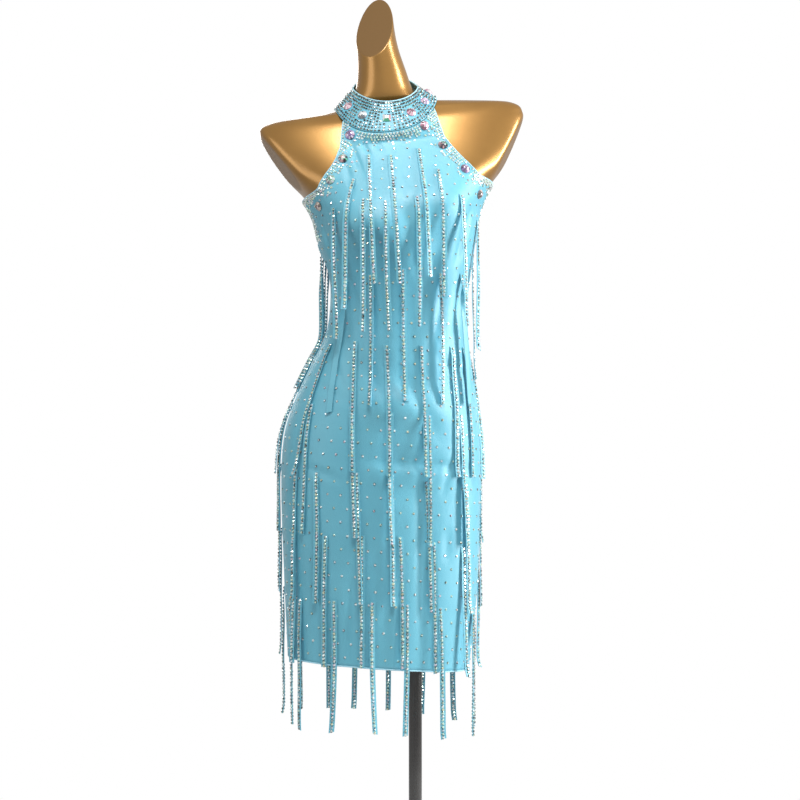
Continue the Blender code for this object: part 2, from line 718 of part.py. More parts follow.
def make_stones(parts, collar_tree, tree):
    for name, angle in COLLAR_STONES.items():
        make_collar_stone(parts, name, collar_tree, angle, STONE_RADIUS, STONE_SIDES)
    make_collar_stone(parts, CENTRE_STONE, collar_tree, CENTRE_STONE_ANGLE, CENTRE_STONE_RADIUS, 4,
                      CENTRE_STONE_SPIN)
    for name, (x, z) in ARMHOLE_STONES.items():
        rim, within = [facing_ring(tree, x, z, radius) for radius in (STONE_RADIUS, STONE_RADIUS / 2)]
        quarter = RIM_SAMPLES // 4
        normal = (rim[0] - rim[2 * quarter]).cross(rim[quarter] - rim[3 * quarter]).normalized()
        place = facing_ring(tree, x, z, 0)[0]
        lift = max((point - place).dot(normal) for point in [*rim, *within, place])
        make_stone(parts, name, place + normal * lift, normal, STONE_RADIUS, STONE_SIDES)


def main():
    clear_scene()
    parts = collection("halter_tassel_dress")
    cutters = collection("cutters")
    form, form_bottom = make_form(parts, cutters)
    make_stand(parts, form_bottom)
    front = make_panel(parts, "front_panel", front_rows())
    back = make_panel(parts, "back_panel", back_rows())
    collar = make_collar(parts)
    tree = tree_of([form, front, back])
    make_tiers(parts, tree, FRONT_TIERS, behind=False)
    make_tiers(parts, tree, BACK_TIERS, behind=True)
    make_stones(parts, tree_of([collar]), tree)


main()
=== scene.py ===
import math
import random
from collections import namedtuple

import bmesh
import bpy
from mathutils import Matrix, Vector
from mathutils.bvhtree import BVHTree


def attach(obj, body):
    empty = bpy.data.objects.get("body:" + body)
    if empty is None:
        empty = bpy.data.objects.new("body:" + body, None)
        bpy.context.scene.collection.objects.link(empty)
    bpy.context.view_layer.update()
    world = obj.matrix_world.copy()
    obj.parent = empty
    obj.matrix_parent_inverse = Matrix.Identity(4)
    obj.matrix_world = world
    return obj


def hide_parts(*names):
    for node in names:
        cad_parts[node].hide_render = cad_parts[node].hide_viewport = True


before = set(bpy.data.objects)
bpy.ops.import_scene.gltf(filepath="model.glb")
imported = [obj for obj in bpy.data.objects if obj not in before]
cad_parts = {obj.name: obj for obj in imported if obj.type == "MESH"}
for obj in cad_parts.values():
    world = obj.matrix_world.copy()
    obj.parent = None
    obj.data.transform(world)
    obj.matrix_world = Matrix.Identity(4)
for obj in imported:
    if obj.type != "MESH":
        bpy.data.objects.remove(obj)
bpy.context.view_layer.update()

# Camera.
# It stands level with the figure's hips, 3.3 m in front, and looks straight at it.
PHOTO_CENTRE, CAMERA_AWAY, HALF_FRAME, FOCAL = (-0.0245, 0.862), 3.3, 400, 2062.5

bpy.ops.object.select_all(action="DESELECT")
bpy.ops.object.camera_add(location=(PHOTO_CENTRE[0], -CAMERA_AWAY, PHOTO_CENTRE[1]),
                          rotation=(math.radians(90), 0, 0))
camera = bpy.context.object
camera.data.angle = 2 * math.atan(HALF_FRAME / FOCAL)
bpy.context.scene.camera = camera

# Floor and studio light.
# A round pale floor lies under the base. Tall soft lights stand at both sides, the stronger at the right,
# with a dim even light from all round.
FLOOR_RADIUS, FLOOR_DROP, FLOOR_SIDES, FLOOR_TONE, FLOOR_ROUGHNESS = 1.05, 0.0006, 96, 0.86, 0.8
Lamp = namedtuple("Lamp", "name place aim width height watts")
LAMPS = [
    Lamp("key", (2.4, -0.35, 1.4), (-0.03, 0, 0.98), 0.6, 1.9, 84),
    Lamp("fill", (-2.2, -1.7, 1.6), (-0.05, 0, 1.0), 1.2, 1.6, 13),
    Lamp("top", (0.13, -1.2, 2.6), (-0.03, 0, 1.2), 0.8, 0.6, 30),
    Lamp("back", (-0.9, 2.4, 1.9), (0, 0, 1.0), 1.2, 1.2, 22),
]
SKY_LIGHT, SKY_TINT = 0.265, (0.93, 0.97, 1.0, 1)
# How bright the white walls are that shiny pieces mirror, and that the camera sees.
WALLS = (("Is Glossy Ray", 0.53), ("Is Camera Ray", 1.0))


def new_material(name, colour, roughness, metallic=0.0, **more):
    """A material with a Principled shader, whose other sockets are named with underscores for spaces."""
    made = bpy.data.materials.new(name)
    made.use_nodes = True
    shader = made.node_tree.nodes["Principled BSDF"]
    shader.inputs["Base Color"].default_value = (*colour, 1)
    shader.inputs["Roughness"].default_value = roughness
    shader.inputs["Metallic"].default_value = metallic
    for socket, value in more.items():
        shader.inputs[socket.replace("_", " ")].default_value = value
    return made


def add_node(looks, kind, *links, **settings):
    """A shader node with its settings; each link is (its socket, another node's output or a value)."""
    tree = looks.node_tree if hasattr(looks, "node_tree") else looks
    made = tree.nodes.new("ShaderNode" + kind)
    for setting, value in settings.items():
        setattr(made, setting, value)
    for socket, source in links:
        if isinstance(source, bpy.types.NodeSocket):
            tree.links.new(source, made.inputs[socket])
        else:
            made.inputs[socket].default_value = source
    return made


bpy.ops.mesh.primitive_circle_add(vertices=FLOOR_SIDES, radius=FLOOR_RADIUS, fill_type="NGON",
                                  location=(0, 0, -FLOOR_DROP))
floor = bpy.context.object
floor.name = "floor"
floor.data.materials.append(new_material("pale floor", (FLOOR_TONE,) * 3, FLOOR_ROUGHNESS))

for lamp in LAMPS:
    aim = Vector(lamp.aim) - Vector(lamp.place)
    bpy.ops.object.light_add(type="AREA", location=lamp.place,
                             rotation=aim.to_track_quat("-Z", "Y").to_euler())
    light = bpy.context.object
    light.name = lamp.name
    light.data.shape = "RECTANGLE"
    light.data.size, light.data.size_y = lamp.width, lamp.height
    light.data.energy = lamp.watts

world = bpy.data.worlds.new("studio")
bpy.context.scene.world = world
world.use_nodes = True
sky = world.node_tree.nodes["Background"]
sky.inputs["Color"].default_value, sky.inputs["Strength"].default_value = SKY_TINT, SKY_LIGHT
seen, lit = add_node(world, "LightPath"), sky.outputs[0]
for rays, strength in WALLS:
    wall = add_node(world, "Background", ("Color", (1, 1, 1, 1)), ("Strength", strength))
    lit = add_node(world, "MixShader", (0, seen.outputs[rays]), (1, lit), (2, wall.outputs[0])).outputs[0]
world.node_tree.links.new(lit, world.node_tree.nodes["World Output"].inputs["Surface"])
bpy.context.scene.view_settings.view_transform = "Standard"

# Dress form.
# A thin shell in satin gold paint: a torso with a slanted cut through the neck and a cut at each arm, whose
# flat faces are duller and painted a darker brown, a painted shade. Its sections, in millimetres, give the
# height, the centre across and ahead, the half width, the depth before and behind, the squareness and the
# roll.
MM = 0.001
Section = namedtuple("Section", "height x y half front back square roll")
SECTIONS = [
    Section(400, -59, 8, 136, 98, 100, 2.30, -0.075),
    Section(450, -58.5, 8, 139, 99, 102, 2.30, -0.075),
    Section(570, -55, 8, 148, 100, 106, 2.30, -0.075),
    Section(720, -54.5, 6, 153, 98, 110, 2.25, -0.070),
    Section(800, -52, 4, 150, 95, 110, 2.20, -0.060),
    Section(860, -46, 2, 137.5, 91, 101, 2.15, -0.045),
    Section(915, -37.5, 0, 122, 86, 88, 2.10, -0.025),
    Section(965, -29, -2, 107.5, 81, 76, 2.10, -0.010),
    Section(1015, -26, -3, 103, 79, 70, 2.10, 0.010),
    Section(1065, -24, -3, 107, 83, 75, 2.15, 0.035),
    Section(1115, -28.5, -2, 120, 90, 86, 2.20, 0.060),
    Section(1165, -29.5, 1, 132, 94, 96, 2.20, 0.075),
    Section(1200, -30, 5, 155, 86, 98, 2.20, 0.080),
    Section(1235, -32, 9, 196, 74, 93, 2.20, 0.080),
    Section(1270, -36, 12, 217, 60, 84, 2.20, 0.075),
    Section(1306, -39, 14, 214, 47, 72, 2.15, 0.095),
    Section(1323.5, -39, 15, 192, 36.5, 62, 2.10, 0.105),
    Section(1330, -41, 16, 126, 34.5, 56, 2.00, 0.120),
    Section(1335, -46, 16, 74, 38.5, 52, 2.00, 0.120),
    Section(1346, -48, 15, 57, 42.8, 50, 2.00, 0.060),
    Section(1358, -50, 13, 47, 42.5, 47, 2.00, 0.030),
    Section(1390, -54, 10, 39, 40, 42, 2.00, 0.000),
    Section(1430, -61.5, 7, 33, 38, 38, 2.00, 0.000),
    Section(1470, -65, 5, 29.5, 37, 37, 2.00, 0.000),
    Section(1530, -67.5, 4, 26, 36, 36, 2.00, 0.000),
]
YAW = math.radians(6)
BUST_ANGLE, BUST_HEIGHT, BUST_RISE, BUST_SPREAD, BUST_TALL = 33, 1158, 19, 24, 52
FORM_COLUMNS = 330
# Each stretch of the form by its lowest height and the rows in it; the neck's goes up to the slanted cut.
FORM_LEVELS = [(690, 50), (1150, 80), (1316, 60), (1348, 36)]
NECK_FROM, FORM_TOP = 1380, 1540
Cut = namedtuple("Cut", "place normal rounding")
ARM_CUTS = [Cut((-218, 9.5, 1234.5), (-0.79, -0.19, -0.58), 14),
            Cut((151.5, 19.5, 1266.5), (0.92, -0.10, -0.40), 7)]
CUT_STARTS, CUT_WHOLE, CUT_NEAR, CUT_FACING = 1150, 1182, 0.7, 0.05
NECK_CUT = Cut((-64.5, 6, 1460), (-0.72, -1.45, 1.0), 1.8)
RIM_ROWS, CAP_ROWS, FORM_SMOOTH = 5, 12, 60
HALVINGS = 24


def curve(start, end, leaving, arriving, t):
    """A place on the smooth curve between two, by the ways in which it leaves one and reaches the other."""
    return ((2 * t**3 - 3 * t**2 + 1) * start + (t**3 - 2 * t**2 + t) * leaving
            + (3 * t**2 - 2 * t**3) * end + (t**3 - t**2) * arriving)


def smooth_between(rows, place):
    """The values that a smooth curve through the table's rows has at this place in its first column."""
    places = [row[0] for row in rows]
    place = min(max(place, places[0]), places[-1])
    i = min(max(j for j, p in enumerate(places) if p <= place), len(rows) - 2)
    before, after = max(i - 1, 0), min(i + 2, len(rows) - 1)
    span = places[i + 1] - places[i]
    t = (place - places[i]) / span
    values = []
    for a, b, c, d in zip(rows[before], rows[i], rows[i + 1], rows[after]):
        start = (c - a) / (places[i + 1] - places[before]) * span
        end = (d - b) / (places[after] - places[i]) * span
        values.append(curve(b, c, start, end, t))
    return values


def rounded(value, power):
    return math.copysign(abs(value) ** power, value)


def bell(distance, spread):
    return math.exp(-((distance / spread) ** 2))


def turned(x, y, angle):
    return (x * math.cos(angle) - y * math.sin(angle), x * math.sin(angle) + y * math.cos(angle))


def ring_point(ring, angle, out):
    """A point of a rounded ring, across and ahead from its middle, and how far ahead the angle looks."""
    across, ahead = math.sin(math.radians(angle)), math.cos(math.radians(angle))
    power = 2 / ring.square
    x = (ring.half + out) * rounded(across, power)
    y = -((ring.front if ahead > 0 else ring.back) + out) * rounded(ahead, power)
    return x, y, ahead


def body_point(angle, height, out=0.0):
    """A point of the figure, in millimetres, by the angle round it and the height, moved outwards by out."""
    section = Section(*smooth_between(SECTIONS, height))
    x, y, _ = ring_point(section, angle, out)
    wrapped = (angle + 180) % 360 - 180
    y -= BUST_RISE * bell(abs(wrapped) - BUST_ANGLE, BUST_SPREAD) * bell(height - BUST_HEIGHT, BUST_TALL)
    turned_x, turned_y = turned(x, y, YAW)
    return Vector((section.x + turned_x, section.y + turned_y, height + section.roll * x))


def shaped_grid(name, columns, rows, place):
    """A grid of faces, whose points go where place(share across, share up) puts them, in millimetres."""
    bpy.ops.object.select_all(action="DESELECT")
    bpy.ops.mesh.primitive_grid_add(x_subdivisions=columns, y_subdivisions=rows, size=1)
    made = bpy.context.object
    made.name = made.data.name = name
    for vertex in made.data.vertices:
        vertex.co = place(vertex.co.x + 0.5, vertex.co.y + 0.5) * MM
    return made


def take(piece):
    """Selects the piece alone."""
    bpy.ops.object.select_all(action="DESELECT")
    bpy.context.view_layer.objects.active = piece
    piece.select_set(True)


def add_modifier(piece, kind, **settings):
    """A modifier put on the piece and applied."""
    take(piece)
    made = piece.modifiers.new(kind.lower(), kind)
    for setting, value in settings.items():
        setattr(made, setting, value)
    bpy.ops.object.modifier_apply(modifier=made.name)


def feed(looks, socket, source):
    """Leads a node's output into a socket of the material's shader."""
    looks.node_tree.links.new(source, looks.node_tree.nodes["Principled BSDF"].inputs[socket])


def noise(looks, where, scale, detail=2.0):
    return add_node(looks, "TexNoise", ("Vector", where), ("Scale", scale), ("Detail", detail)).outputs["Fac"]


def mixed(looks, share, first, second):
    """A colour between two others."""
    return add_node(looks, "MixRGB", ("Fac", share), ("Color1", first), ("Color2", second)).outputs["Color"]


def ranged(looks, share, low, high):
    """A value between two others."""
    made = add_node(looks, "MapRange", ("Value", share), ("To Min", low), ("To Max", high))
    return made.outputs["Result"]


def bumped(looks, height, strength, distance):
    """The normals of a fine relief."""
    made = add_node(looks, "Bump", ("Height", height), ("Strength", strength), ("Distance", distance))
    return made.outputs["Normal"]


def finish_piece(piece, slot, *nodes):
    """The piece rides on the one body and stands for these solids; the slot is not used."""
    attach(piece, "root")
    if nodes:
        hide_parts(*nodes)


def eased(value, low, high):
    share = min(1.0, max(0.0, (value - low) / (high - low)))
    return share * share * (3 - 2 * share)


def form_point(angle, height):
    """A point of the form's skin, drawn in to the flat of an arm's cut where it would be past it."""
    section = Section(*smooth_between(SECTIONS, height))
    centre, point = Vector((section.x, section.y, height)), body_point(angle, height)
    reach = point - centre
    for cut in ARM_CUTS:
        normal = Vector(cut.normal).normalized()
        towards = reach.normalized().dot(normal)
        if towards > CUT_FACING:
            limit = (Vector(cut.place) - centre).dot(normal) / towards
            near = max(0.0, 1 - abs(reach.length - limit) / cut.rounding)
            length = min(reach.length, limit) - near * near * cut.rounding / 4
            length += (reach.length - length) * (1 - eased(height, CUT_STARTS, CUT_WHOLE))
            reach *= length / reach.length
    return centre + reach


def halved(low, high, before):
    """The two ends, close together, between which a test that holds at the low end stops holding."""
    for _ in range(HALVINGS):
        middle = (low + high) / 2
        if before(middle):
            low = middle
        else:
            high = middle
    return low, high


def neck_height(angle, place, normal):
    """The height at which the neck meets its slanted cut."""
    return halved(NECK_FROM, FORM_TOP, lambda height: (body_point(angle, height) - place).dot(normal) < 0)[0]


neck_place, neck_normal = Vector(NECK_CUT.place), Vector(NECK_CUT.normal).normalized()
form_columns = []
for i in range(FORM_COLUMNS + 1):
    angle = 360 * i / FORM_COLUMNS
    top = neck_height(angle, neck_place, neck_normal) - NECK_CUT.rounding
    heights = []
    for (low, count), high in zip(FORM_LEVELS, [level for level, _ in FORM_LEVELS[1:]] + [top]):
        heights += [low + (high - low) * row / count for row in range(count)]
    column = [form_point(angle, height) for height in heights]
    wall = body_point(angle, top)
    rim = body_point(angle, top + NECK_CUT.rounding)
    inwards = (neck_place - rim) - neck_normal * (neck_place - rim).dot(neck_normal)
    for row in range(RIM_ROWS + 1):
        turn = math.pi / 2 * row / RIM_ROWS
        column.append(wall + (rim - wall) * math.sin(turn)
                      + inwards.normalized() * NECK_CUT.rounding * (1 - math.cos(turn)))
    last = column[-1]
    column += [last.lerp(neck_place, row / CAP_ROWS) for row in range(1, CAP_ROWS + 1)]
    form_columns.append(column)
level_end = sum(column[0].z for column in form_columns) / len(form_columns)
for column in form_columns:
    column[0].z = level_end

form_rows = len(form_columns[0]) - 1
form = shaped_grid("form_shell", FORM_COLUMNS, form_rows,
                   lambda across, up: form_columns[round(across * FORM_COLUMNS)][round(up * form_rows)])
bpy.ops.object.mode_set(mode="EDIT")
bpy.ops.mesh.select_all(action="SELECT")
bpy.ops.mesh.remove_doubles(threshold=1e-6)
bpy.ops.mesh.fill_holes(sides=0)
bpy.ops.mesh.normals_make_consistent(inside=False)
bpy.ops.object.mode_set(mode="OBJECT")
bpy.ops.object.shade_smooth_by_angle(angle=math.radians(FORM_SMOOTH))

cut_mark = form.data.attributes.new("cut", "FLOAT", "POINT")
for vertex in form.data.vertices:
    point = vertex.co / MM
    for cut in (*ARM_CUTS, NECK_CUT):
        depth = abs((point - Vector(cut.place)).dot(Vector(cut.normal).normalized()))
        if point.z > CUT_WHOLE and (cut is not NECK_CUT or point.z > NECK_FROM):
            mark = 1 - eased(depth, 0.1 * CUT_NEAR, CUT_NEAR)
            cut_mark.data[vertex.index].value = max(cut_mark.data[vertex.index].value, mark)

gold = new_material("satin gold paint", (0.36, 0.185, 0.035), 0.38, 0.6, Coat_Weight=0.35,
                    Coat_Roughness=0.16)
here = add_node(gold, "TexCoord").outputs["Object"]
marked = add_node(gold, "Attribute", attribute_name="cut").outputs["Fac"]
paint = mixed(gold, noise(gold, here, 17.0, 4.0), (0.3, 0.148, 0.033, 1), (0.43, 0.226, 0.057, 1))
# The cut faces are painted a darker brown, a painted shade; they are also rougher, with a thinner coat.
feed(gold, "Base Color", mixed(gold, marked, paint, (0.25, 0.136, 0.044, 1)))
feed(gold, "Roughness", ranged(gold, marked, 0.3, 0.5))
feed(gold, "Coat Weight", ranged(gold, marked, 0.35, 0.3))
feed(gold, "Normal", bumped(gold, noise(gold, here, 900.0), 0.06, 0.0004))
form.data.materials.append(gold)
finish_piece(form, "gold_paint", "dress_form")

# Pole and base.
# A dark steel tube stands on the axis and goes up into the form. Its foot is a plain round steel plate.
SteelPiece = namedtuple("SteelPiece", "name node radius low high sides rounding segments")
STEEL_PIECES = [SteelPiece("pole_tube", "pole", 10.5, 9.3, 689, 64, 0.8, 2),
                SteelPiece("base_plate", "base", 155, 0, 9, 128, 2.5, 4)]
STEEL_SMOOTH = 30

steel = new_material("dark steel", (0.055, 0.052, 0.05), 0.25, 0.6, Coat_Weight=0.5, Coat_Roughness=0.12)
here = add_node(steel, "TexCoord").outputs["Object"]
drawn = add_node(steel, "Mapping", ("Vector", here), ("Scale", (1.0, 1.0, 0.02))).outputs["Vector"]
streaks = noise(steel, drawn, 420.0, 3.0)
feed(steel, "Roughness", ranged(steel, streaks, 0.2, 0.34))
feed(steel, "Base Color", mixed(steel, streaks, (0.042, 0.04, 0.04, 1), (0.075, 0.07, 0.065, 1)))

for made in STEEL_PIECES:
    bpy.ops.object.select_all(action="DESELECT")
    bpy.ops.mesh.primitive_cylinder_add(vertices=made.sides, radius=made.radius * MM,
                                        depth=(made.high - made.low) * MM)
    piece = bpy.context.object
    piece.name = piece.data.name = made.name
    piece.location.z = (made.low + made.high) / 2 * MM
    bpy.ops.object.transform_apply(location=True, rotation=False, scale=False)
    add_modifier(piece, "BEVEL", width=made.rounding * MM, segments=made.segments, limit_method="ANGLE")
    bpy.ops.object.shade_smooth_by_angle(angle=math.radians(STEEL_SMOOTH))
    piece.data.materials.append(steel)
    finish_piece(piece, "dark_metal", made.node)

# Front and back panels.
# Turquoise satin stretch cloth, cut close to the figure: the front runs up to a high halter neck, and the
# back stops low, below a bare back. Folds are soft troughs by the angle round the figure, in degrees and
# millimetres.
EASE, WALL = 5.0, 1.2
HEM, UNDERARM = 443, 1188
SIDE_TOP, OPEN_BACK_TOP, OPEN_BACK_CURVE = 1118, 1040, 0.8
SIDE_SEAM, SEAM_ANGLE = 90, 0.08
ROW_STEP, ROW_DIP, ROW_DIP_START = 6, 48, 1000
PANEL_COLUMNS, ARMHOLE_ROWS, NECK_ROWS, RIB_SCALE = 150, 30, 9, 5200.0
Bridge = namedtuple("Bridge", "amount spread height tall")
# Where the cloth stands off the figure between and below the two sides of the bust.
BRIDGES = [Bridge(9, 17, BUST_HEIGHT, 58), Bridge(6, 50, 1085, 34), Bridge(5, 14, 1108, 32)]
FOLD_FADE, CREASE_FADE, CREASE_HIGH, CREASE_LIP, LIP_WIDTH, NEXT_ROUNDS = 0.15, 0.2, 1.5, 0.4, 2.0, 5
Fold = namedtuple("Fold", "angle top bottom drift width depth")
FOLDS = [Fold(*row) for row in (
    (-64, 1150, 1060, 10, 5, 2.2),
    (52, 1160, 1085, -8, 5, 2.0),
    (8, 1120, 1030, -4, 9, 1.6),
    (22, 740, 440, -3, 7, 2.6),
    (-20, 620, 440, 4, 8, 2.0),
    (-58, 840, 690, -7, 6, 1.8),
    (64, 960, 840, 12, 6, 2.0),
    (150, 780, 440, 4, 9, 2.6),
    (205, 700, 440, -4, 9, 2.4),
    (180, 1000, 900, 3, 14, 2.2),
)]
# Each crease by its two ends across and up, its width and its depth, which is below zero for a ridge.
Crease = namedtuple("Crease", "x1 z1 x2 z2 width depth")
FRONT_CREASES = [Crease(*row) for row in (
    (-90, 1276, -72, 1248, 3.4, 2.0), (-101, 1262, -82, 1216, 4.2, 2.4),
    (-78, 1282, -52, 1256, 3.4, 1.6), (-112, 1238, -98, 1190, 5.0, 1.8),
    (-131, 1144, -107, 1058, 4.6, 2.6), (-144, 1128, -132, 1090, 3.6, 2.0),
    (86, 1156, 64, 1080, 4.6, 2.4), (-66, 1120, -36, 1070, 9.0, 2.4),
    (-10, 1114, 10, 1040, 9.0, 2.0), (34, 1100, 10, 1010, 9.0, 2.2),
    (-96, 1040, -82, 950, 7.0, 1.8), (50, 1050, 26, 945, 8.0, 2.2),
    (74, 1056, 60, 960, 5.0, 1.8), (-52, 1040, -48, 960, 8.0, 1.4),
    (-172, 758, -118, 738, 6.0, 1.8), (-66, 764, 78, 756, 8.0, 2.2),
    (-74, 915, -40, 840, 10.0, 1.8), (-20, 900, 34, 806, 12.0, 2.2),
    (60, 776, 44, 720, 6.0, 2.2), (52, 656, 48, 612, 8.0, 2.0),
    (-99, 576, -101, 460, 7.0, 2.4), (-45, 710, -47, 530, 7.0, 2.2),
    (-26, 560, -25, 430, 6.0, 2.2), (76, 610, 79, 430, 6.0, 2.2),
    (-150, 640, -153, 450, 8.0, 1.8), (-134, 940, -112, 876, 6.0, 1.8),
    (-150, 884, -106, 860, 7.0, 1.4), (16, 1205, -8, 1145, 8.0, 1.4),
    (8, 720, 12, 470, 9.0, 2.0), (-106, 1134, -22, 1124, 30.0, -9.5),
    (-74, 854, 44, 846, 30.0, -8.5), (-72, 724, 40, 722, 24.0, 2.6),
    (-72, 770, 34, 766, 20.0, 4.2), (30, 930, 84, 900, 8.0, 1.4),
)]
BACK_CREASES = [Crease(*row) for row in (
    (-124, 1016, -78, 970, 8.0, 2.0), (64, 1010, 18, 962, 8.0, 2.0),
    (-72, 1004, -48, 930, 8.0, 2.0), (8, 985, -6, 890, 8.0, 1.8),
    (-132, 906, -78, 880, 8.0, 1.5), (74, 908, 18, 886, 8.0, 1.5),
    (-60, 710, -64, 450, 9.0, 2.3), (-135, 670, -139, 460, 8.0, 2.1),
    (12, 700, 14, 440, 8.0, 2.2), (62, 650, 60, 430, 7.0, 2.1),
    (-100, 570, -97, 430, 7.0, 1.9), (-28, 610, -31, 430, 7.0, 1.8),
    (-152, 774, -106, 748, 7.0, 1.5), (84, 764, 26, 744, 7.0, 1.5),
    (-100, 960, -60, 925, 7.0, 1.4), (44, 940, 70, 880, 6.0, 1.4),
)]
Edge = namedtuple("Edge", "left_x left_height right_x right_height")
ARMHOLES = [Edge(*row) for row in ((-160, 1199, 107, 1204), (-149, 1213, 94, 1215), (-136, 1231, 77, 1233),
                                   (-126, 1247, 60, 1253), (-119, 1264, 46, 1272))]
Rim = namedtuple("Rim", "x y half front back square height roll front_drop back_rise")
COLLAR_BOTTOM = Rim(-48, 8, 82, 69, 67, 2.5, 1338, 0.13, 54, 8)
COLLAR_TOP = Rim(-48, 10, 52, 52, 52, 2.0, 1363, 0.058, 29, 29)
RIM_BEND, COLLAR_SEAM, COLLAR_LEFT, COLLAR_RIGHT = 1.3, 1.2, -56, 60


def fold_depth(angle, height):
    """How far the folds push the cloth inwards here."""
    wrapped = (angle + 90) % 360 - 90
    total = 0.0
    for fold in FOLDS:
        share = (fold.top - height) / (fold.top - fold.bottom)
        if -FOLD_FADE < share < 1 + FOLD_FADE:
            away = wrapped - fold.angle - fold.drift * share
            starts = min(1.0, (share + FOLD_FADE) / (2 * FOLD_FADE))
            ends = min(1.0, (1 + FOLD_FADE - share) / (2 * FOLD_FADE)) if fold.bottom > HEM else 1.0
            total += fold.depth * starts * ends * bell(away, fold.width)
    return total


def crease_depth(creases, x, z):
    """How far the creases push the cloth inwards at a place across and up: each fades towards its ends."""
    total = 0.0
    for crease in creases:
        along_x, along_z = crease.x2 - crease.x1, crease.z2 - crease.z1
        length = math.hypot(along_x, along_z)
        off_x, off_z = x - crease.x1, z - crease.z1
        share = (off_x * along_x + off_z * along_z) / length**2
        aside = (off_x * along_z - off_z * along_x) / length
        if -CREASE_FADE < share < 1 + CREASE_FADE and abs(aside) < 3 * crease.width:
            swell = math.sin(math.pi * (share + CREASE_FADE) / (1 + 2 * CREASE_FADE))
            total += crease.depth * swell * (CREASE_HIGH * bell(aside, crease.width)
                                             - CREASE_LIP * bell(aside, LIP_WIDTH * crease.width))
    return total


def bridge(angle, height):
    """How far the cloth stands off the figure between and below the two sides of the bust."""
    wrapped = (angle + 180) % 360 - 180
    return sum(part.amount * bell(wrapped, part.spread) * bell(height - part.height, part.tall)
               for part in BRIDGES)


def cloth_point(angle, height, out=0.0):
    """A point of the cloth's outer face, moved outwards by out."""
    ease = EASE + WALL + bridge(angle, height) - fold_depth(angle, height) + out
    plain = body_point(angle, height, ease)
    creases = FRONT_CREASES if -SIDE_SEAM <= angle <= SIDE_SEAM else BACK_CREASES
    depth = crease_depth(creases, plain.x, plain.z)
    return body_point(angle, height, ease - depth) if abs(depth) > 0.01 else plain


def out_direction(angle, height):
    """The direction straight out of the cloth at this place."""
    along = cloth_point(angle + 1, height) - cloth_point(angle - 1, height)
    up = cloth_point(angle, height + 3) - cloth_point(angle, height - 3)
    return along.cross(up).normalized()


def angle_at(x, height, behind=False):
    """The angle at which the cloth passes a place across, in front or behind."""
    ends = (SIDE_SEAM, 360 - SIDE_SEAM) if behind else (-SIDE_SEAM, SIDE_SEAM)
    return sum(halved(*ends, lambda angle: (cloth_point(angle, height).x < x) != behind)) / 2


def place_at(x, z, behind=False):
    """The angle and the height on the figure of a place across and a real height."""
    height = z
    for _ in range(NEXT_ROUNDS):
        angle = angle_at(x, height, behind)
        height += z - cloth_point(angle, height).z
    return angle, height


def open_back(angle):
    """The height of the open back's edge, which falls from the sides to the centre back."""
    share = abs(math.cos(math.radians(angle))) ** OPEN_BACK_CURVE
    return SIDE_TOP + (OPEN_BACK_TOP - SIDE_TOP) * share


def rim_point(rim, angle, out=0.0):
    """A point of one rim of the collar, moved outwards by out."""
    x, y, ahead = ring_point(rim, angle, out)
    rise = (rim.front_drop if ahead > 0 else rim.back_rise) * rounded(ahead, RIM_BEND)
    turned_x, turned_y = turned(x, y, YAW)
    return Vector((rim.x + turned_x, rim.y + turned_y, rim.height + rim.roll * x - rise))


def through(before, start, end, after, share):
    """A point of the smooth curve through four points, between its second and third."""
    return curve(start, end, (end - before) / 2, (after - start) / 2, share)


def dipped_row(left, left_height, right, right_height, middle):
    """A row of the front between two places on its sides, lower or higher at its middle."""
    dip = (left_height + right_height) / 2 - middle
    points = []
    for i in range(PANEL_COLUMNS + 1):
        share = i / PANEL_COLUMNS
        height = left_height + (right_height - left_height) * share - dip * math.sin(math.pi * share)
        points.append(cloth_point(left + (right - left) * share, height))
    return points


def seam_row(share):
    """The front's top edge under the collar, or the same line at a share of the way up the collar."""
    ends = [COLLAR_BOTTOM.half * rounded(math.sin(math.radians(angle)), 2 / COLLAR_BOTTOM.square)
            for angle in (COLLAR_LEFT, COLLAR_RIGHT)]
    points = []
    for i in range(PANEL_COLUMNS + 1):
        x = ends[0] + (ends[1] - ends[0]) * i / PANEL_COLUMNS
        angle = math.degrees(math.asin(rounded(x / COLLAR_BOTTOM.half, COLLAR_BOTTOM.square / 2)))
        low, high = rim_point(COLLAR_BOTTOM, angle), rim_point(COLLAR_TOP, angle)
        points.append(low.lerp(high, share) + (low - high).normalized() * COLLAR_SEAM)
    return points


side = SIDE_SEAM - SEAM_ANGLE
armhole_table = [(0, -side, UNDERARM - 1, side, UNDERARM + 1)]
for number, edge in enumerate(ARMHOLES):
    armhole_table.append((number + 1, angle_at(edge.left_x, edge.left_height), edge.left_height,
                          angle_at(edge.right_x, edge.right_height), edge.right_height))
front_table = []
for step in range((UNDERARM - HEM) // ROW_STEP):
    height = HEM + (UNDERARM - HEM) * step / ((UNDERARM - HEM) // ROW_STEP)
    share = max(0.0, (height - ROW_DIP_START) / (UNDERARM - ROW_DIP_START))
    front_table.append(dipped_row(-side, height, side, height, height - ROW_DIP * share**2))
seam = seam_row(0)
middle_low, middle_high = UNDERARM - ROW_DIP, min(point.z for point in seam)
for step in range(ARMHOLE_ROWS + 1):
    share = step / ARMHOLE_ROWS
    edge = smooth_between(armhole_table, len(ARMHOLES) * share)[1:]
    middle = middle_low + (middle_high - middle_low) * share * ARMHOLE_ROWS / (ARMHOLE_ROWS + 3)
    front_table.append(dipped_row(*edge, middle))
last, above = front_table[-1], seam_row(0.4)
earlier = front_table[-6]
for step in range(1, NECK_ROWS + 1):
    front_table.append([through(*points, step / NECK_ROWS) for points in zip(earlier, last, seam, above)])


def length_of(line):
    return sum((b - a).length for a, b in zip(line, line[1:]))


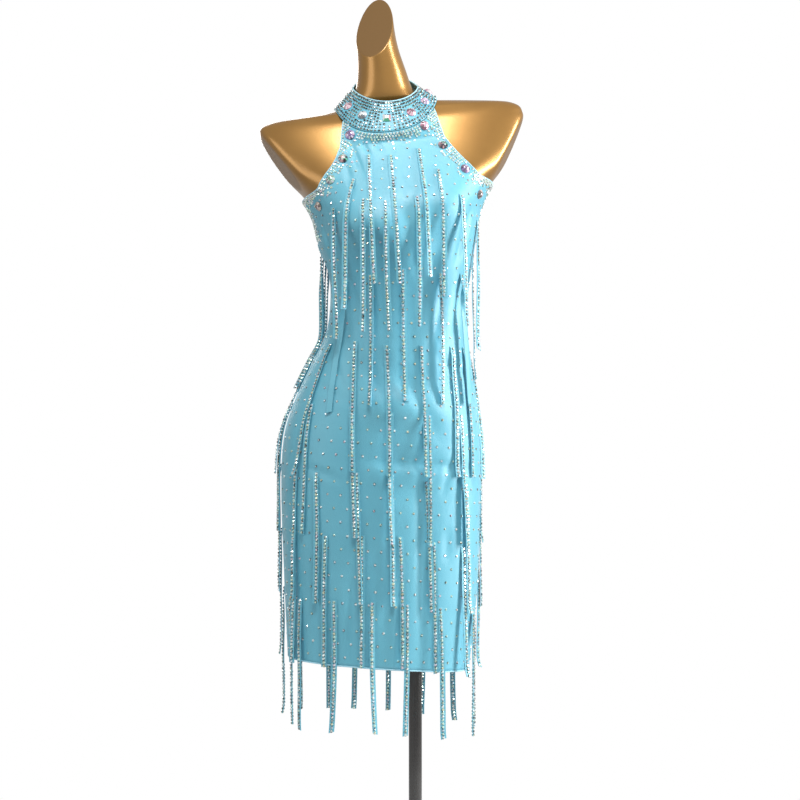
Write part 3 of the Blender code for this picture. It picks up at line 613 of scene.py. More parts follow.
def panel(name, points, wall):
    """A thin sheet of cloth through rows of points, with its UV map in metres across and up."""
    rows, columns = len(points) - 1, len(points[0]) - 1
    made = shaped_grid(name, columns, rows,
                       lambda across, up: points[round(up * rows)][round(across * columns)])
    width = length_of(points[len(points) // 3]) * MM
    tall = length_of([row[len(row) // 2] for row in points]) * MM
    for loop in made.data.uv_layers[0].data:
        loop.uv = (loop.uv[0] * width, loop.uv[1] * tall)
    bpy.ops.object.shade_smooth()
    add_modifier(made, "SOLIDIFY", thickness=wall * MM, offset=-1, use_even_offset=True,
                 use_quality_normals=True)
    return made


front = panel("front_cloth", front_table, WALL)
back_side = SIDE_SEAM + SEAM_ANGLE
back_rows = (SIDE_TOP - HEM) // ROW_STEP
back_angles = [back_side + (360 - 2 * back_side) * i / PANEL_COLUMNS for i in range(PANEL_COLUMNS + 1)]
back_table = [[cloth_point(angle, HEM + (open_back(angle) - HEM) * row / back_rows) for angle in back_angles]
              for row in range(back_rows + 1)]
back = panel("back_cloth", back_table, WALL)

knit = bpy.data.node_groups.new("knit face", "ShaderNodeTree")
for label, kind in (("Vector", "Vector"), ("Rib", "Float"), ("Light", "Color"), ("Dark", "Color")):
    knit.interface.new_socket(label, in_out="INPUT", socket_type="NodeSocket" + kind)
for label, kind in (("Colour", "Color"), ("Height", "Float")):
    knit.interface.new_socket(label, in_out="OUTPUT", socket_type="NodeSocket" + kind)
knit_in, knit_out = knit.nodes.new("NodeGroupInput"), knit.nodes.new("NodeGroupOutput")
where = knit_in.outputs["Vector"]
waves = [add_node(knit, "TexWave", ("Vector", where), ("Scale", knit_in.outputs["Rib"]), ("Distortion", bent),
                  ("Detail", detail), wave_type="BANDS", bands_direction=way)
         for way, bent, detail in (("X", 1.5, 1.0), ("Y", 2.0, 2.0))]
loops = add_node(knit, "Math", *enumerate(wave.outputs["Fac"] for wave in waves), operation="MULTIPLY")
shade = mixed(knit, noise(knit, where, 14.0, 4.0), knit_in.outputs["Dark"], knit_in.outputs["Light"])
knit.links.new(shade, knit_out.inputs["Colour"])
knit.links.new(loops.outputs["Value"], knit_out.inputs["Height"])


def cloth_material(name, light, dark, roughness):
    """Satin stretch cloth on the piece's UV map, with a soft sheen."""
    made = new_material(name, light, roughness, Sheen_Weight=0.35, Sheen_Roughness=0.35,
                        Sheen_Tint=(0.8, 0.97, 1.0, 1), Specular_IOR_Level=0.7)
    weave = add_node(made, "Group", ("Vector", add_node(made, "TexCoord").outputs["UV"]), ("Rib", RIB_SCALE),
                     ("Light", (*light, 1)), ("Dark", (*dark, 1)), node_tree=knit)
    feed(made, "Base Color", weave.outputs["Colour"])
    feed(made, "Normal", bumped(made, weave.outputs["Height"], 0.25, 0.0002))
    return made


satin = cloth_material("turquoise satin", (0.165, 0.52, 0.65), (0.13, 0.46, 0.59), 0.42)
for piece, node in ((front, "front_panel"), (back, "back_panel")):
    piece.data.materials.append(satin)
    finish_piece(piece, "satin", node)

# Collar.
# A band of the same satin round the neck, lapped at the centre back, which leans inwards to its narrower top.
COLLAR_WALL, COLLAR_COLUMNS, COLLAR_ROWS = 1.3, 216, 14
COLLAR_LAP, COLLAR_LAP_LIFT = 14, 1.9
lap = math.degrees(COLLAR_LAP / COLLAR_TOP.half)


def collar_point(angle, share, out=0.0):
    """A point of the collar's outer face, at a share of the way from its seam to its top."""
    return rim_point(COLLAR_BOTTOM, angle, out).lerp(rim_point(COLLAR_TOP, angle, out), share)


def collar_row(up):
    """A line along the band, which lifts off its other end where it laps over it."""
    line = []
    for i in range(COLLAR_COLUMNS + 1):
        angle = -180 + (360 + lap) * i / COLLAR_COLUMNS
        lift = COLLAR_LAP_LIFT * min(1.0, max(0.0, (angle - 180 + 2 * lap) / (2 * lap)))
        line.append(collar_point(angle, up, lift))
    return line


collar_points = [collar_row(row / COLLAR_ROWS) for row in range(COLLAR_ROWS + 1)]
collar = panel("collar_band", collar_points, COLLAR_WALL)
collar.data.materials.append(satin)
finish_piece(collar, "satin", "collar")

# Bindings.
# The hem, the armholes, the open back and the collar's top each end in a narrow rolled edge of a paler
# satin.
BINDING_RADIUS, BINDING_SIDES = 1.1, 8
pale_edge = new_material("pale edge", (0.42, 0.74, 0.86), 0.5, Sheen_Weight=0.3)
stitches = noise(pale_edge, add_node(pale_edge, "TexCoord").outputs["Object"], 700.0)
feed(pale_edge, "Normal", bumped(pale_edge, stitches, 0.3, 0.0004))


def linked(name, data):
    """A new object in the scene, around this mesh or curve."""
    piece = bpy.data.objects.new(name, data)
    bpy.context.scene.collection.objects.link(piece)
    return piece


def rolled_edge(name, points):
    """A thin round edge along a line of points."""
    roll = bpy.data.curves.new(name, "CURVE")
    roll.dimensions = "3D"
    roll.bevel_depth = BINDING_RADIUS * MM
    roll.bevel_resolution = BINDING_SIDES // 4
    roll.use_fill_caps = True
    line = roll.splines.new("POLY")
    line.points.add(len(points) - 1)
    for spot, point in zip(line.points, points):
        spot.co = (*(point * MM), 1)
    held = linked(name, roll)
    take(held)
    bpy.ops.object.convert(target="MESH")
    bpy.ops.object.mode_set(mode="EDIT")
    bpy.ops.mesh.select_all(action="SELECT")
    bpy.ops.mesh.remove_doubles(threshold=1e-6)
    bpy.ops.object.mode_set(mode="OBJECT")
    bpy.ops.object.shade_smooth()
    held.data.materials.append(pale_edge)
    finish_piece(held, "satin")
    return held


def inset(points, towards, amount):
    """Each point moved a little towards the matching one, so that the edge lies in the cloth's wall."""
    return [point + (other - point).normalized() * amount for point, other in zip(points, towards)]


side_rows = [row for row in front_table if row[0].z > back_table[-1][-1].z - 1]
seam_rows = [row for row in front_table if row[0].z <= back_table[-1][-1].z]
bindings = {}
for label, rows, amount in (("armhole_edge", side_rows, 0.4), ("side_seam", seam_rows, -0.2)):
    for end, near, hand in ((0, 3, "left"), (-1, -4, "right")):
        bindings[f"{label}_{hand}"] = inset([row[end] for row in rows], [row[near] for row in rows], amount)
bindings |= {
    "hem_edge_front": inset(front_table[0], front_table[1], 0.3),
    "hem_edge_back": inset(back_table[0], back_table[1], 0.3),
    "open_back_edge": inset(back_table[-1], back_table[-2], 0.4),
    "collar_top_edge": inset(collar_points[-1], collar_points[-2], 0.3),
}
edge_pieces = {name: rolled_edge(name, points) for name, points in bindings.items()}

# Tassel tapes.
# Flat strips of the same satin, each sewn to the dress by its top end so that it hangs free. They are in
# eight tiers in front and fewer behind, and each tier falls over the ones below it. Some are turned round.
TAPE_WIDTH, TAPE_THICK, TAPE_LENGTH, TAPE_STEPS = 8.8, 1.0, 205, 26
TAPE_ACROSS = (-1, -0.5, 0, 0.5, 1)
TAPE_OFF, TAPE_OVER, ROOT_OFF, ROOT_SPAN, REACH = 3.0, 2.6, 0.7, 16, 300
TAPE_YAW, TAPE_SWAY, TAPE_WAVE, TAPE_CURL, TAPE_SLANT = 36, 2.6, 0.5, 4.0, 1.8
TAPE_FREE, ROOT_YAW, WAVES, CURL_FROM, CURL_BACK, LAID_ROUNDS, TAPE_SMOOTH = 70, 0.3, 9, 0.9, -0.4, 4, 50
Root = namedtuple("Root", "x height drift turn", defaults=(0,))
# The tapes of each tier by the root across and up, how far the tape drifts sideways and the turn that it
# takes, from the top tier down: in front from the first tier and behind from the fourth.
FRONT_ROOTS = [
    [(-97, 1207, -4), (-73, 1247, 6), (-40, 1247, 12), (5, 1258, 12), (36, 1224, 3)],
    [(-128, 1162, 6), (-82, 1174, 1), (-46, 1171, 5), (1, 1179, 2), (71, 1183, 6), (98, 1147, 0)],
    [(-109, 1048, -8, 165), (-70, 1058, 3), (-19, 1066, 3), (39, 1061, 3), (72, 1061, 12, -160)],
    [(-133, 951, -34), (-94, 955, 6), (-46, 948, 5), (10, 947, 4), (57, 946, 3), (75, 945, 4)],
    [(-162, 857, -8), (-100, 853, 8), (-38, 843, 2), (21, 839, 2), (70, 839, 5)],
    [(-186, 756, -2), (-155, 750, 0), (-92, 750, 6), (-38, 747, 2), (17, 736, 7), (78, 731, 3)],
    [(-190, 655, -3), (-140, 652, -2), (-83, 652, -1), (-24, 650, 3), (29, 641, 2), (74, 631, 6)],
    [(-196, 556, 4), (-180, 551, 0), (-127, 551, -3), (-67, 549, 4), (-14, 545, -3), (38, 538, 3),
     (90, 534, 0)],
]
BACK_ROOTS = [
    [(-112, 949, 2), (-66, 946, 0), (-16, 943, 3), (32, 941, -2, 170), (66, 940, 4)],
    [(-158, 856, -5), (-98, 852, 3), (-40, 847, 0), (18, 843, 4), (76, 838, 3)],
    [(-176, 758, -2), (-126, 753, 0, -170), (-68, 748, 4), (-10, 744, -3), (46, 738, 2), (88, 734, 3)],
    [(-186, 657, 2), (-152, 654, -2), (-96, 650, 3), (-38, 646, 0), (20, 641, -3), (74, 636, 2)],
    [(-184, 562, 0), (-143, 560, 2), (-98, 556, -2), (-46, 552, 2), (12, 547, -2), (62, 540, 0)],
]
FRONT_TIERS = {f"fringe_front_{number}": roots for number, roots in enumerate(FRONT_ROOTS, 1)}
BACK_TIERS = {f"fringe_back_{number}": roots for number, roots in enumerate(BACK_ROOTS, 4)}
SIDE_ANGLES = (98, 262)
BACK_EDGE, BACK_EDGE_DROP = "fringe_back_3", 9
# Round the figure and sideways, in degrees and millimetres: three hang close together at the left side.
BACK_EDGE_TAPES = [(97, 3), (112, 4), (130, 2), (154, -2), (180, 3), (206, 0), (230, -3), (252, -6),
                   (257, -5), (262, -4), (266, -1)]
SIDE_TURN = 35


def tree_of(pieces):
    """The faces of these pieces, in millimetres, to lay other pieces on."""
    points, faces = [], []
    for piece in pieces:
        first = len(points)
        points += [vertex.co / MM for vertex in piece.data.vertices]
        faces += [[first + index for index in face.vertices] for face in piece.data.polygons]
    return BVHTree.FromPolygons(points, faces)


def moved_out(tree, place, away, out):
    """The place put on the faces that it meets along a direction, then moved out, or none."""
    hit = tree.ray_cast(place + away * REACH, -away, 2 * REACH)[0]
    return hit and hit + away * out


def laid(needs):
    """How far out a hanging tape is at each step: plumb, or on the cloth or tapes that it meets."""
    out = [needs[0]]
    for need in needs[1:]:
        out.append(max(out[-1], need))
    for _ in range(LAID_ROUNDS):
        out = [out[0], *(max(need, (a + 2 * b + c) / 4)
                         for need, a, b, c in zip(needs[1:], out, out[1:], out[2:])), out[-1]]
    return out


def hang(tree, lower, angle, height, drift, turn, rng):
    """One tape: for each step down it, the row of points across it."""
    away = out_direction(angle, height)
    away = Vector((away.x, away.y, 0)).normalized()
    side = Vector((-away.y, away.x, 0))
    root = moved_out(tree, cloth_point(angle, height), away, 0)
    yaw, sway, phase = rng.uniform(-TAPE_YAW, TAPE_YAW), rng.uniform(-TAPE_SWAY, TAPE_SWAY), rng.uniform(0, 6)
    curl, slant = rng.uniform(CURL_BACK, 1) * TAPE_CURL, rng.uniform(-1, 1) * TAPE_SLANT
    lines, needs = [], []
    for step in range(TAPE_STEPS + 1):
        share = step / TAPE_STEPS
        fallen = TAPE_LENGTH * share
        loose = eased(fallen, 0, TAPE_FREE)
        spin = math.radians((yaw * (ROOT_YAW + (1 - ROOT_YAW) * share) + turn) * loose)
        across = side * math.cos(spin) + away * math.sin(spin)
        middle = root + Vector((drift * share, 0, -fallen)) + side * sway * math.sin(math.pi * share)
        middle += away * TAPE_WAVE * (1 + math.sin(phase + WAVES * share)) * loose
        middle += away * curl * max(0.0, (share - CURL_FROM) / (1 - CURL_FROM)) ** 2
        off = ROOT_OFF + (TAPE_OFF - ROOT_OFF) * min(1.0, fallen / ROOT_SPAN)
        line = [middle + across * TAPE_WIDTH / 2 * w + Vector((0, 0, slant * w * share)) for w in TAPE_ACROSS]
        places = [(moved_out(tree, point, away, off), point) for point in line]
        places += [(moved_out(lower, point, away, TAPE_OVER), point) for point in line]
        needs.append(max([(place - point).dot(away) for place, point in places if place], default=-REACH))
        lines.append(line)
    return [[point + away * out for point in line] for line, out in zip(lines, laid(needs))]


def tape_mesh(name, tapes):
    """Tapes as one piece: each a thin strip with square ends, its UVs in metres along it."""
    made = bpy.data.meshes.new(name)
    bm = bmesh.new()
    uv = bm.loops.layers.uv.new("UVMap")
    for tape in tapes:
        grid = [[bm.verts.new(point * MM) for point in row] for row in tape]
        for number, (upper, lower) in enumerate(zip(grid, grid[1:])):
            for column in range(len(upper) - 1):
                face = bm.faces.new((lower[column], lower[column + 1], upper[column + 1], upper[column]))
                for loop, across, down in zip(face.loops, (0, 1, 1, 0), (1, 1, 0, 0)):
                    loop[uv].uv = (TAPE_WIDTH * (column + across) / 4 * MM,
                                   -TAPE_LENGTH * (number + down) / TAPE_STEPS * MM)
    bm.to_mesh(made)
    bm.free()
    piece = linked(name, made)
    made.shade_smooth()
    add_modifier(piece, "SOLIDIFY", thickness=TAPE_THICK * MM, offset=0)
    bpy.ops.object.shade_smooth_by_angle(angle=math.radians(TAPE_SMOOTH))
    return piece


cloth_tree = tree_of([front, back])
tape_satin = cloth_material("tape satin", (0.175, 0.53, 0.66), (0.14, 0.475, 0.6), 0.42)
fringes, tape_rows = {}, {}
for behind, tiers in ((False, FRONT_TIERS), (True, BACK_TIERS)):
    placed = {}
    for name, roots in tiers.items():
        placed[name] = [(*place_at(root.x, root.height, behind), root.drift, root.turn)
                        for root in (Root(*row) for row in roots)]
        if behind:
            placed[name].sort()
            near, far = placed[name][0][1], placed[name][-1][1]
            placed[name] = [(SIDE_ANGLES[0], near, 0, SIDE_TURN), *placed[name],
                            (SIDE_ANGLES[1], far, 0, -SIDE_TURN)]
    if behind:
        placed = {BACK_EDGE: [(angle, open_back(angle) - BACK_EDGE_DROP, drift,
                               SIDE_TURN * math.sin(math.radians(angle)) ** 5)
                              for angle, drift in BACK_EDGE_TAPES], **placed}
    made = []
    for name in reversed(placed):
        rng = random.Random(name)
        lower = tree_of(made)
        tape_rows[name] = [hang(cloth_tree, lower, *spot, rng) for spot in placed[name]]
        fringes[name] = tape_mesh(name.replace("fringe", "tapes"), tape_rows[name])
        fringes[name].data.materials.append(tape_satin)
        finish_piece(fringes[name], "satin", name)
        made.append(fringes[name])

# Large crystals.
# Faceted glass stones, as wide as a fingertip, glued round the collar and down the armhole edges; the middle
# one is square. Each has its own tint, and its facets are painted lighter, darker and in flashes of other
# colours, as painted glints, reflections and shade.
GEM_RADIUS, GEM_TALL, GEM_TABLE, GEM_BEVEL, GEM_OFF, GEM_SIDES = 9.0, 4.8, 0.4, 0.13, 0.4, 8
SQUARE_RADIUS, SQUARE_TURN, COLLAR_GEM_SHARE, GEM_SEAT, SEAT_POINTS = 9.4, 45, 0.45, 6.6, 12
# On the collar by the angle round it, and along the armholes by the place across and up.
COLLAR_GEMS = {"1": (-64, "rose"), "2": (-34, "clear"), "3": (28, "rose"), "4": (58, "lilac"),
               "5": (88, "rose"), "centre": (-2, "fire")}
ARMHOLE_GEMS = {
    "left": [(-103, 1279, "lilac"), (-114, 1240, "fire"), (-133, 1206, "mint"), (-152, 1166, "smoke")],
    "right": [(14, 1295, "rose"), (43, 1264, "fire"), (78, 1225, "lilac"), (101, 1187, "smoke")],
}
# The colours that each stone's facets are painted: its tint, then lighter and darker copies of it and flashes
# of other colours, which are painted glints, reflections and shade.
GEM_TINTS_AND_GLINTS = {
    "rose": [(0.86, 0.45, 0.58), (0.95, 0.72, 0.78), (0.62, 0.28, 0.38), (0.9, 0.88, 0.9)],
    "clear": [(0.9, 0.93, 0.95), (0.62, 0.68, 0.74), (0.98, 0.98, 0.98), (0.35, 0.4, 0.45)],
    "lilac": [(0.62, 0.45, 0.78), (0.85, 0.75, 0.92), (0.35, 0.24, 0.5), (0.9, 0.6, 0.72)],
    "fire": [(0.72, 0.4, 0.42), (0.05, 0.06, 0.09), (0.93, 0.95, 0.93), (0.12, 0.55, 0.34)],
    "mint": [(0.45, 0.72, 0.55), (0.85, 0.92, 0.86), (0.18, 0.36, 0.26), (0.75, 0.7, 0.8)],
    "smoke": [(0.3, 0.24, 0.22), (0.62, 0.52, 0.44), (0.12, 0.1, 0.11), (0.75, 0.6, 0.66)],
}
# How bright each stone's facets are painted, as painted glints and shade, then the square stone's bevel and
# the bevels' angle.
GEM_GLINT_TONES, SQUARE_BEVEL, GEM_ANGLE = (0.3, 0.7, 1.0, 1.0), 0.35, 20


def gem(name, place, normal, radius, sides, spin, tint):
    """A stone with a bevelled girdle, slanted facets and a flat table, or a point on a square one."""
    bpy.ops.object.select_all(action="DESELECT")
    bpy.ops.mesh.primitive_cone_add(vertices=sides, radius1=radius * MM, radius2=radius * GEM_TABLE * MM,
                                    depth=GEM_TALL * MM, rotation=(0, 0, math.radians(spin)))
    piece = bpy.context.object
    piece.name = piece.data.name = name
    bpy.ops.object.transform_apply(location=False, rotation=True, scale=False)
    if sides == 4:
        bpy.ops.object.mode_set(mode="EDIT")
        for face in bmesh.from_edit_mesh(piece.data).faces:
            face.select = face.normal.z > 0.9
        bpy.ops.mesh.merge(type="CENTER")
        bpy.ops.object.mode_set(mode="OBJECT")
    bevel = radius * GEM_BEVEL * (SQUARE_BEVEL if sides == 4 else 1)
    add_modifier(piece, "BEVEL", width=bevel * MM, segments=1, limit_method="ANGLE",
                 angle_limit=math.radians(GEM_ANGLE))
    facet_tint_and_glints = piece.data.color_attributes.new("facet_tint_and_glints", "BYTE_COLOR", "CORNER")
    rng = random.Random(name)
    colours = [Vector(colour) * tone for _ in range(len(piece.data.polygons)) for colour in GEM_TINTS_AND_GLINTS[tint]
               for tone in GEM_GLINT_TONES]
    rng.shuffle(colours)
    for face, colour in zip(piece.data.polygons, colours):
        # The square stone's four sides are each painted one of its colours: painted light and shade on its
        # sides.
        if sides == 4:
            away = face.center
            colour = GEM_TINTS_AND_GLINTS[tint][int((math.atan2(away.y, away.x) + math.pi / 4) // (math.pi / 2)) % 4]
        for loop in face.loop_indices:
            facet_tint_and_glints.data[loop].color = (*colour, 1)
    piece.location = (place + normal * (GEM_OFF + GEM_TALL / 2)) * MM
    piece.rotation_euler = normal.to_track_quat("Z", "Y").to_euler()
    bpy.ops.object.transform_apply(location=True, rotation=True, scale=False)
    piece.data.materials.append(gem_glass)
    finish_piece(piece, "crystal", name.replace("gem", "stone"))


def faceted_glass(name, colour, roughness, metallic, coat_roughness):
    """Foil-backed glass under a clear coat, each facet in its own colour with a painted glint or shade."""
    made = new_material(name, colour, roughness, metallic, Coat_Weight=1.0, Coat_Roughness=coat_roughness)
    feed(made, "Base Color", add_node(made, "Attribute", attribute_name="facet_tint_and_glints").outputs["Color"])
    return made


gem_glass = faceted_glass("large crystal", (0.8, 0.8, 0.85), 0.08, 0.25, 0.02)
gems = []
collar_tree = tree_of([collar])
for label, (angle, tint) in COLLAR_GEMS.items():
    along = collar_point(angle + 1, COLLAR_GEM_SHARE) - collar_point(angle - 1, COLLAR_GEM_SHARE)
    up = rim_point(COLLAR_TOP, angle) - rim_point(COLLAR_BOTTOM, angle)
    normal = along.cross(up).normalized()
    place = moved_out(collar_tree, collar_point(angle, COLLAR_GEM_SHARE), normal, 0)
    square = label == "centre"
    radius = SQUARE_RADIUS if square else GEM_RADIUS
    gems.append((place, radius))
    sides, spin = (4, SQUARE_TURN) if square else (GEM_SIDES, 0)
    gem(f"gem_collar_{label}", place, normal, radius, sides, spin, tint)
for label, x, z, tint in [(f"{hand}_{number}", *row) for hand, rows in ARMHOLE_GEMS.items()
                          for number, row in enumerate(rows, 1)]:
    place, *rim = [cloth_tree.ray_cast(Vector((x + across, -REACH, z + up)), Vector((0, 1, 0)))[0]
                   for across, up in [(0, 0)] + [turned(GEM_SEAT, 0, math.tau * i / SEAT_POINTS)
                                                 for i in range(SEAT_POINTS)]]
    quarter = SEAT_POINTS // 4
    normal = (rim[0] - rim[2 * quarter]).cross(rim[quarter] - rim[3 * quarter]).normalized()
    lift = max((point - place).dot(normal) for point in [*rim, place])
    gems.append((place, GEM_RADIUS))
    gem(f"gem_{label}", place + normal * lift, normal, GEM_RADIUS, GEM_SIDES, 0, tint)

# Small crystals.
# Flat-backed faceted glass stones, four to a finger's width, glued on: in close rows on the collar and beside
# the armholes, scattered in offset rows over the cloth, and in one row down each tape.
STONE_RADIUS, STONE_TALL, STONE_TABLE, STONE_SINK, STONE_TILT, STONE_SIDES = 2.25, 1.45, 0.55, 0.08, 0.14, 8
TAPE_PITCH, COLLAR_PITCH, BAND_PITCH = 5.4, 5.3, 5.0
SCATTER_ACROSS, SCATTER_SKIRT, SCATTER_BODICE, BODICE, SCATTER_STARTS = 21, 21, 16, 1110, (0.3, 0.8)
SCATTER_LOW, SCATTER_HIGH, FRONT_ROOM, BACK_ROOM, BACK_MARGIN, ROW_POINTS = HEM + 14, 1330, 6.5, 8, 10, 90
BACK_SPAN, SPINE, COLLAR_SPAN, COLLAR_MARGIN, TAPE_MARGIN = (94, 266), (-35, 10), (-178, 178), 3.2, 3.5
TAPE_STONE, COLLAR_STONE, GEM_ROOM, EDGE_ROOM, COLLAR_MIDDLE = 1.2, 1.0, 1.4, 14.4, 6
CLOTH_SIZES, COLLAR_SIZES, TAPE_SIZES, TAPE_ROW = (0.92, 1.06), (0.94, 1.06), (0.95, 1.05), (0.36, 0.62)
# Each row of a band by its distance from the edge and the share of its stones that are there.
BANDS = [(3.4, 1), (7.9, 1), (12.4, 0.95), (17.2, 0.75), (22.4, 0.4), (28.4, 0.25)]
COLLAR_BAND = [(3.2, 1), (7.5, 1), (11.8, 0.95), (16.4, 0.5), (22, 0.3)]
BAND_START, BAND_JITTER, FULL_JITTER, BAND_COLUMN = 2, 0.8, 0.2, 24
# Tints of the glass, with how often each comes.
TINTS = [((0.88, 0.97, 0.94), 44), ((0.7, 0.93, 0.8), 30), ((0.86, 0.8, 0.88), 4), ((0.7, 0.87, 0.95), 10),
         ((0.45, 0.54, 0.52), 5), ((0.82, 0.86, 0.64), 7)]
# How bright the stones' tops and sides are painted, as painted glints and painted shade on their facets.
STONE_GLINT_TONES = (0.65, 0.85, 0.95, 1.0), (0.05, 0.2, 0.45, 0.8, 1.0)
# The collar's stones are painted darker, a painted shade, and the armhole bands' stones brighter, painted
# light against the collar's shadow.
PAINTED_LIGHT_TONES_OF = {"crystals_collar": ((0.02, 0.06, 0.15, 0.4), (0.02, 0.06, 0.15, 0.35, 0.8)),
            "crystals_armholes": ((0.9, 1.0, 1.0, 1.0), (0.3, 0.5, 0.8, 1.0, 1.0))}

bpy.ops.object.select_all(action="DESELECT")
bpy.ops.mesh.primitive_cylinder_add(vertices=STONE_SIDES, radius=STONE_RADIUS * MM, depth=STONE_TALL * MM)
stone = bpy.context.object
bpy.ops.object.mode_set(mode="EDIT")
cut = bmesh.from_edit_mesh(stone.data)
for face in cut.faces:
    face.select = face.normal.z > 0.5
bpy.context.tool_settings.mesh_select_mode = (False, False, True)
bpy.ops.transform.resize(value=(STONE_TABLE, STONE_TABLE, 1))
bpy.ops.object.mode_set(mode="OBJECT")
stone_points = [vertex.co / MM for vertex in stone.data.vertices]
stone_faces = [list(face.vertices) for face in stone.data.polygons]
bpy.data.objects.remove(stone)

crystal = faceted_glass("cut crystal", (0.88, 0.94, 0.94), 0.16, 0.3, 0.03)


def stones_mesh(name, spots, rng):
    """Copies of the small stone as one piece, each at its (place, outward direction, size)."""
    points, faces, colours = [], [], []
    top_glint_tones, side_shade_tones = PAINTED_LIGHT_TONES_OF.get(name, STONE_GLINT_TONES)
    for place, normal, size in spots:
        first = len(points)
        facing = normal.to_track_quat("Z", "Y")
        spin = rng.uniform(0, math.tau)
        tilt = Vector((rng.uniform(-1, 1), rng.uniform(-1, 1), 0)) * STONE_TILT
        tint = rng.choices([colour for colour, _ in TINTS], [share for _, share in TINTS])[0]
        for point in stone_points:
            x, y = turned(point.x * size, point.y * size, spin)
            lifted = (point.z + STONE_TALL / 2) * size + x * tilt.x + y * tilt.y
            points.append((place + facing @ Vector((x, y, lifted - STONE_SINK))) * MM)
        for face in stone_faces:
            faces.append([first + index for index in face])
            # Each facet is painted lighter or darker, a painted glint or shade; the top and the flat back
            # take the tops' tones.
            shade = rng.choice(top_glint_tones if len(face) > 4 else side_shade_tones)
            colours += [tuple(part * shade for part in tint)] * len(face)
    mesh = bpy.data.meshes.new(name)
    mesh.from_pydata(points, [], faces)
    facet_tint_and_glints = mesh.color_attributes.new("facet_tint_and_glints", "BYTE_COLOR", "CORNER")
    for spot, colour in zip(facet_tint_and_glints.data, colours):
        spot.color = (*colour, 1)
    mesh.materials.append(crystal)
    finish_piece(linked(name, mesh), "crystal")


def spaced(line, pitch, start):
    """Places at even steps along a line of points."""
    places, due = [], start
    for a, b in zip(line, line[1:]):
        length = (b - a).length
        while due <= length:
            places.append(a.lerp(b, due / length))
            due += pitch
        due -= length
    return places


def band(line, number, share):
    """One row of a band of stones along a line, some of them left out, and none under a large stone."""
    points = spaced(line, BAND_PITCH, BAND_START + number % 2 * BAND_PITCH / 2)
    loose = BAND_JITTER if share < 1 else FULL_JITTER
    points = [point + Vector([rng.uniform(-loose, loose) for _ in range(3)])
              for point in points if rng.random() < share]
    return on_cloth([point for point in points if clear_of_gems(point)])


def clear_of_gems(point):
    return all((point - place).length > radius + GEM_ROOM for place, radius in gems)


def inside(rows, distance, from_right=False):
    """The line that lies a distance in from one side of a sheet, measured along its rows."""
    line = []
    for row in rows:
        walked, points = 0.0, row[::-1] if from_right else row
        for a, b in zip(points, points[1:]):
            length = (b - a).length
            if walked + length >= distance:
                line.append(a.lerp(b, (distance - walked) / length))
                break
            walked += length
    return line


def seated(tree, point, middle):
    """The nearest place on the faces with its direction away from the middle."""
    place, normal = tree.find_nearest(point)[:2]
    return place, normal if normal.dot(point - middle) > 0 else -normal


rng = random.Random("small crystals")
stones = {}


def on_cloth(points):
    """Stones on the panels at these points, facing away from the middle of the figure."""
    spots = []
    for point in points:
        place, normal = seated(cloth_tree, point, Vector((*SPINE, point.z)))
        spots.append((place, normal, rng.uniform(*CLOTH_SIZES)))
    return spots


# The bands run up both armholes from the open back, and under the collar between them.
armhole_spots = []
for number, (distance, share) in enumerate(BANDS):
    for from_right in (False, True):
        armhole_spots += band(inside(side_rows, distance, from_right), number, share)
columns = [[row[i] for row in reversed(front_table[-BAND_COLUMN:])] for i in range(PANEL_COLUMNS + 1)]
for number, (distance, share) in enumerate(COLLAR_BAND):
    line = [point for point in inside(columns, distance)
            if min((point - row[end]).length for row in side_rows for end in (0, -1)) > EDGE_ROOM]
    armhole_spots += band(line, number, share)

back_columns = [[row[i] for row in reversed(back_table)] for i in range(PANEL_COLUMNS + 1)]
back_edge_spots = []
for number, (distance, share) in enumerate(BANDS[:2]):
    back_edge_spots += band(inside(back_columns, distance), number, share)


def clear_of(point, taken, room):
    return all((point - other).length_squared > room * room for other in taken)


def scattered(low, high, top_of, angles):
    """Places in offset rows over the cloth between two heights, as far round as the angles say."""
    places, height, number = [], low, 0
    while height < high:
        start, end = angles(height)
        line = [cloth_point(start + (end - start) * i / ROW_POINTS, height) for i in range(ROW_POINTS + 1)]
        row = spaced(line, SCATTER_ACROSS, SCATTER_ACROSS * SCATTER_STARTS[number % 2])
        places += [point for point in row if point.z < top_of(point)]
        height += SCATTER_SKIRT if height < BODICE else SCATTER_BODICE
        number += 1
    return places


def armhole_angles(height):
    """The angles at which the front ends on each side at this height."""
    if height <= UNDERARM:
        return -side + 3, side - 3
    lefts = [(row[2], row[1]) for row in armhole_table]
    rights = [(row[4], row[3]) for row in armhole_table]
    return smooth_between(lefts, height)[1], smooth_between(rights, height)[1]


def under_collar(point):
    return min(front_table[-1], key=lambda other: abs(other.x - point.x)).z


def under_open_back(point):
    angle = math.degrees(math.atan2(point.x - SPINE[0], -(point.y - SPINE[1])))
    return open_back(angle) - BACK_MARGIN


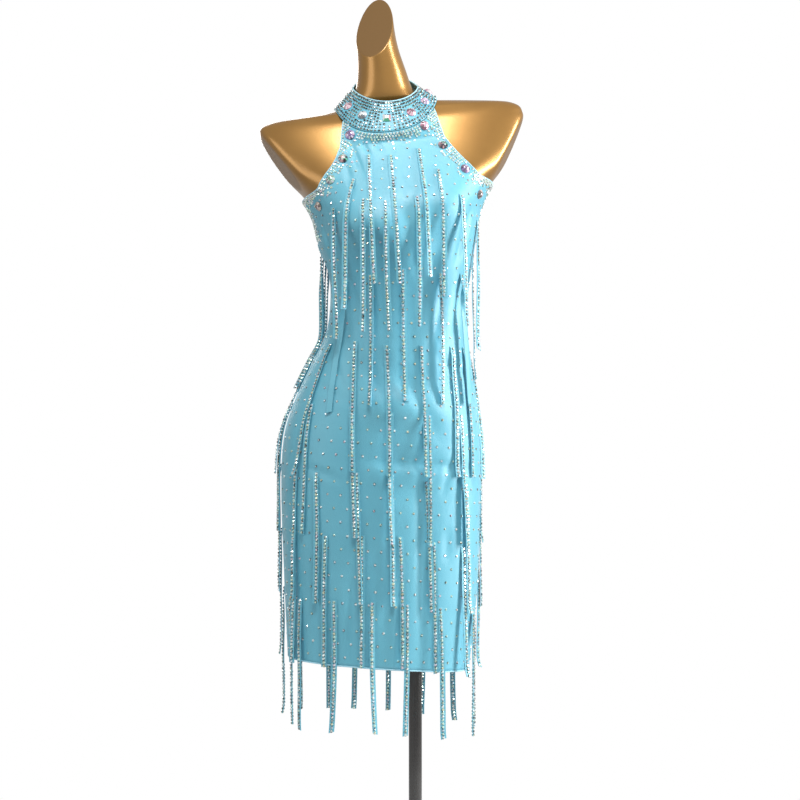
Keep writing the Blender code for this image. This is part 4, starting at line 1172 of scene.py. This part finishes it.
roots = [tape[0][2] for tapes in tape_rows.values() for tape in tapes]
taken = roots + [place for place, _, _ in armhole_spots + back_edge_spots]
front_places = [point for point in scattered(SCATTER_LOW, SCATTER_HIGH, under_collar, armhole_angles)
                if clear_of(point, taken, FRONT_ROOM) and clear_of_gems(point)]
back_places = [point for point in scattered(SCATTER_LOW, SIDE_TOP, under_open_back, lambda height: BACK_SPAN)
               if clear_of(point, taken, BACK_ROOM)]
stones["crystals_front"] = on_cloth(front_places)
stones["crystals_back"] = on_cloth(back_places) + back_edge_spots
stones["crystals_armholes"] = armhole_spots

collar_spots = []
collar_middle = Vector((COLLAR_TOP.x, COLLAR_TOP.y, COLLAR_TOP.height))
collar_count = round(length_of(collar_points[COLLAR_MIDDLE]) / COLLAR_PITCH)
for number in range(collar_count):
    angle = COLLAR_SPAN[0] + (COLLAR_SPAN[1] - COLLAR_SPAN[0]) * number / (collar_count - 1)
    column = [collar_point(angle, i / 10) for i in range(11)]
    tall = length_of(column) - 2 * COLLAR_MARGIN
    for point in spaced(column, tall / round(tall / COLLAR_PITCH), COLLAR_MARGIN):
        place, normal = seated(collar_tree, point, collar_middle)
        if clear_of_gems(place):
            collar_spots.append((place, normal, COLLAR_STONE * rng.uniform(*COLLAR_SIZES)))
stones["crystals_collar"] = collar_spots

for name, tapes in tape_rows.items():
    spots = []
    for tape in tapes:
        aside = rng.uniform(*TAPE_ROW)
        line = [row[0].lerp(row[-1], aside) for row in tape]
        for point in spaced(line, TAPE_PITCH, TAPE_MARGIN):
            i = min(range(len(line) - 1), key=lambda k: (line[k] + line[k + 1] - 2 * point).length)
            across = tape[i][-1] - tape[i][0]
            down = line[i + 1] - line[i]
            normal = down.cross(across).normalized()
            spots.append((point + normal * TAPE_THICK / 2, normal, TAPE_STONE * rng.uniform(*TAPE_SIZES)))
            if point.z < HEM - TAPE_PITCH:
                spots.append((point - normal * TAPE_THICK / 2, -normal, TAPE_STONE))
    stones[name.replace("fringe", "crystals")] = spots
for name, spots in stones.items():
    stones_mesh(name, spots, rng)

# Pieces sewn to the cloth.
# The front and the back are each one flat piece, shaped at the sides and the top, and the collar is a curved
# band. The tapes and bindings sewn to the front, and those sewn to the back, are gathered here.
on_front = [edge_pieces[name] for name in ("armhole_edge_left", "armhole_edge_right", "side_seam_left",
                                           "side_seam_right", "hem_edge_front")]
on_front += [fringes[name] for name in FRONT_TIERS]
on_back = [edge_pieces[name] for name in ("hem_edge_back", "open_back_edge")]
on_back += [fringes[name] for name in (BACK_EDGE, *BACK_TIERS)]
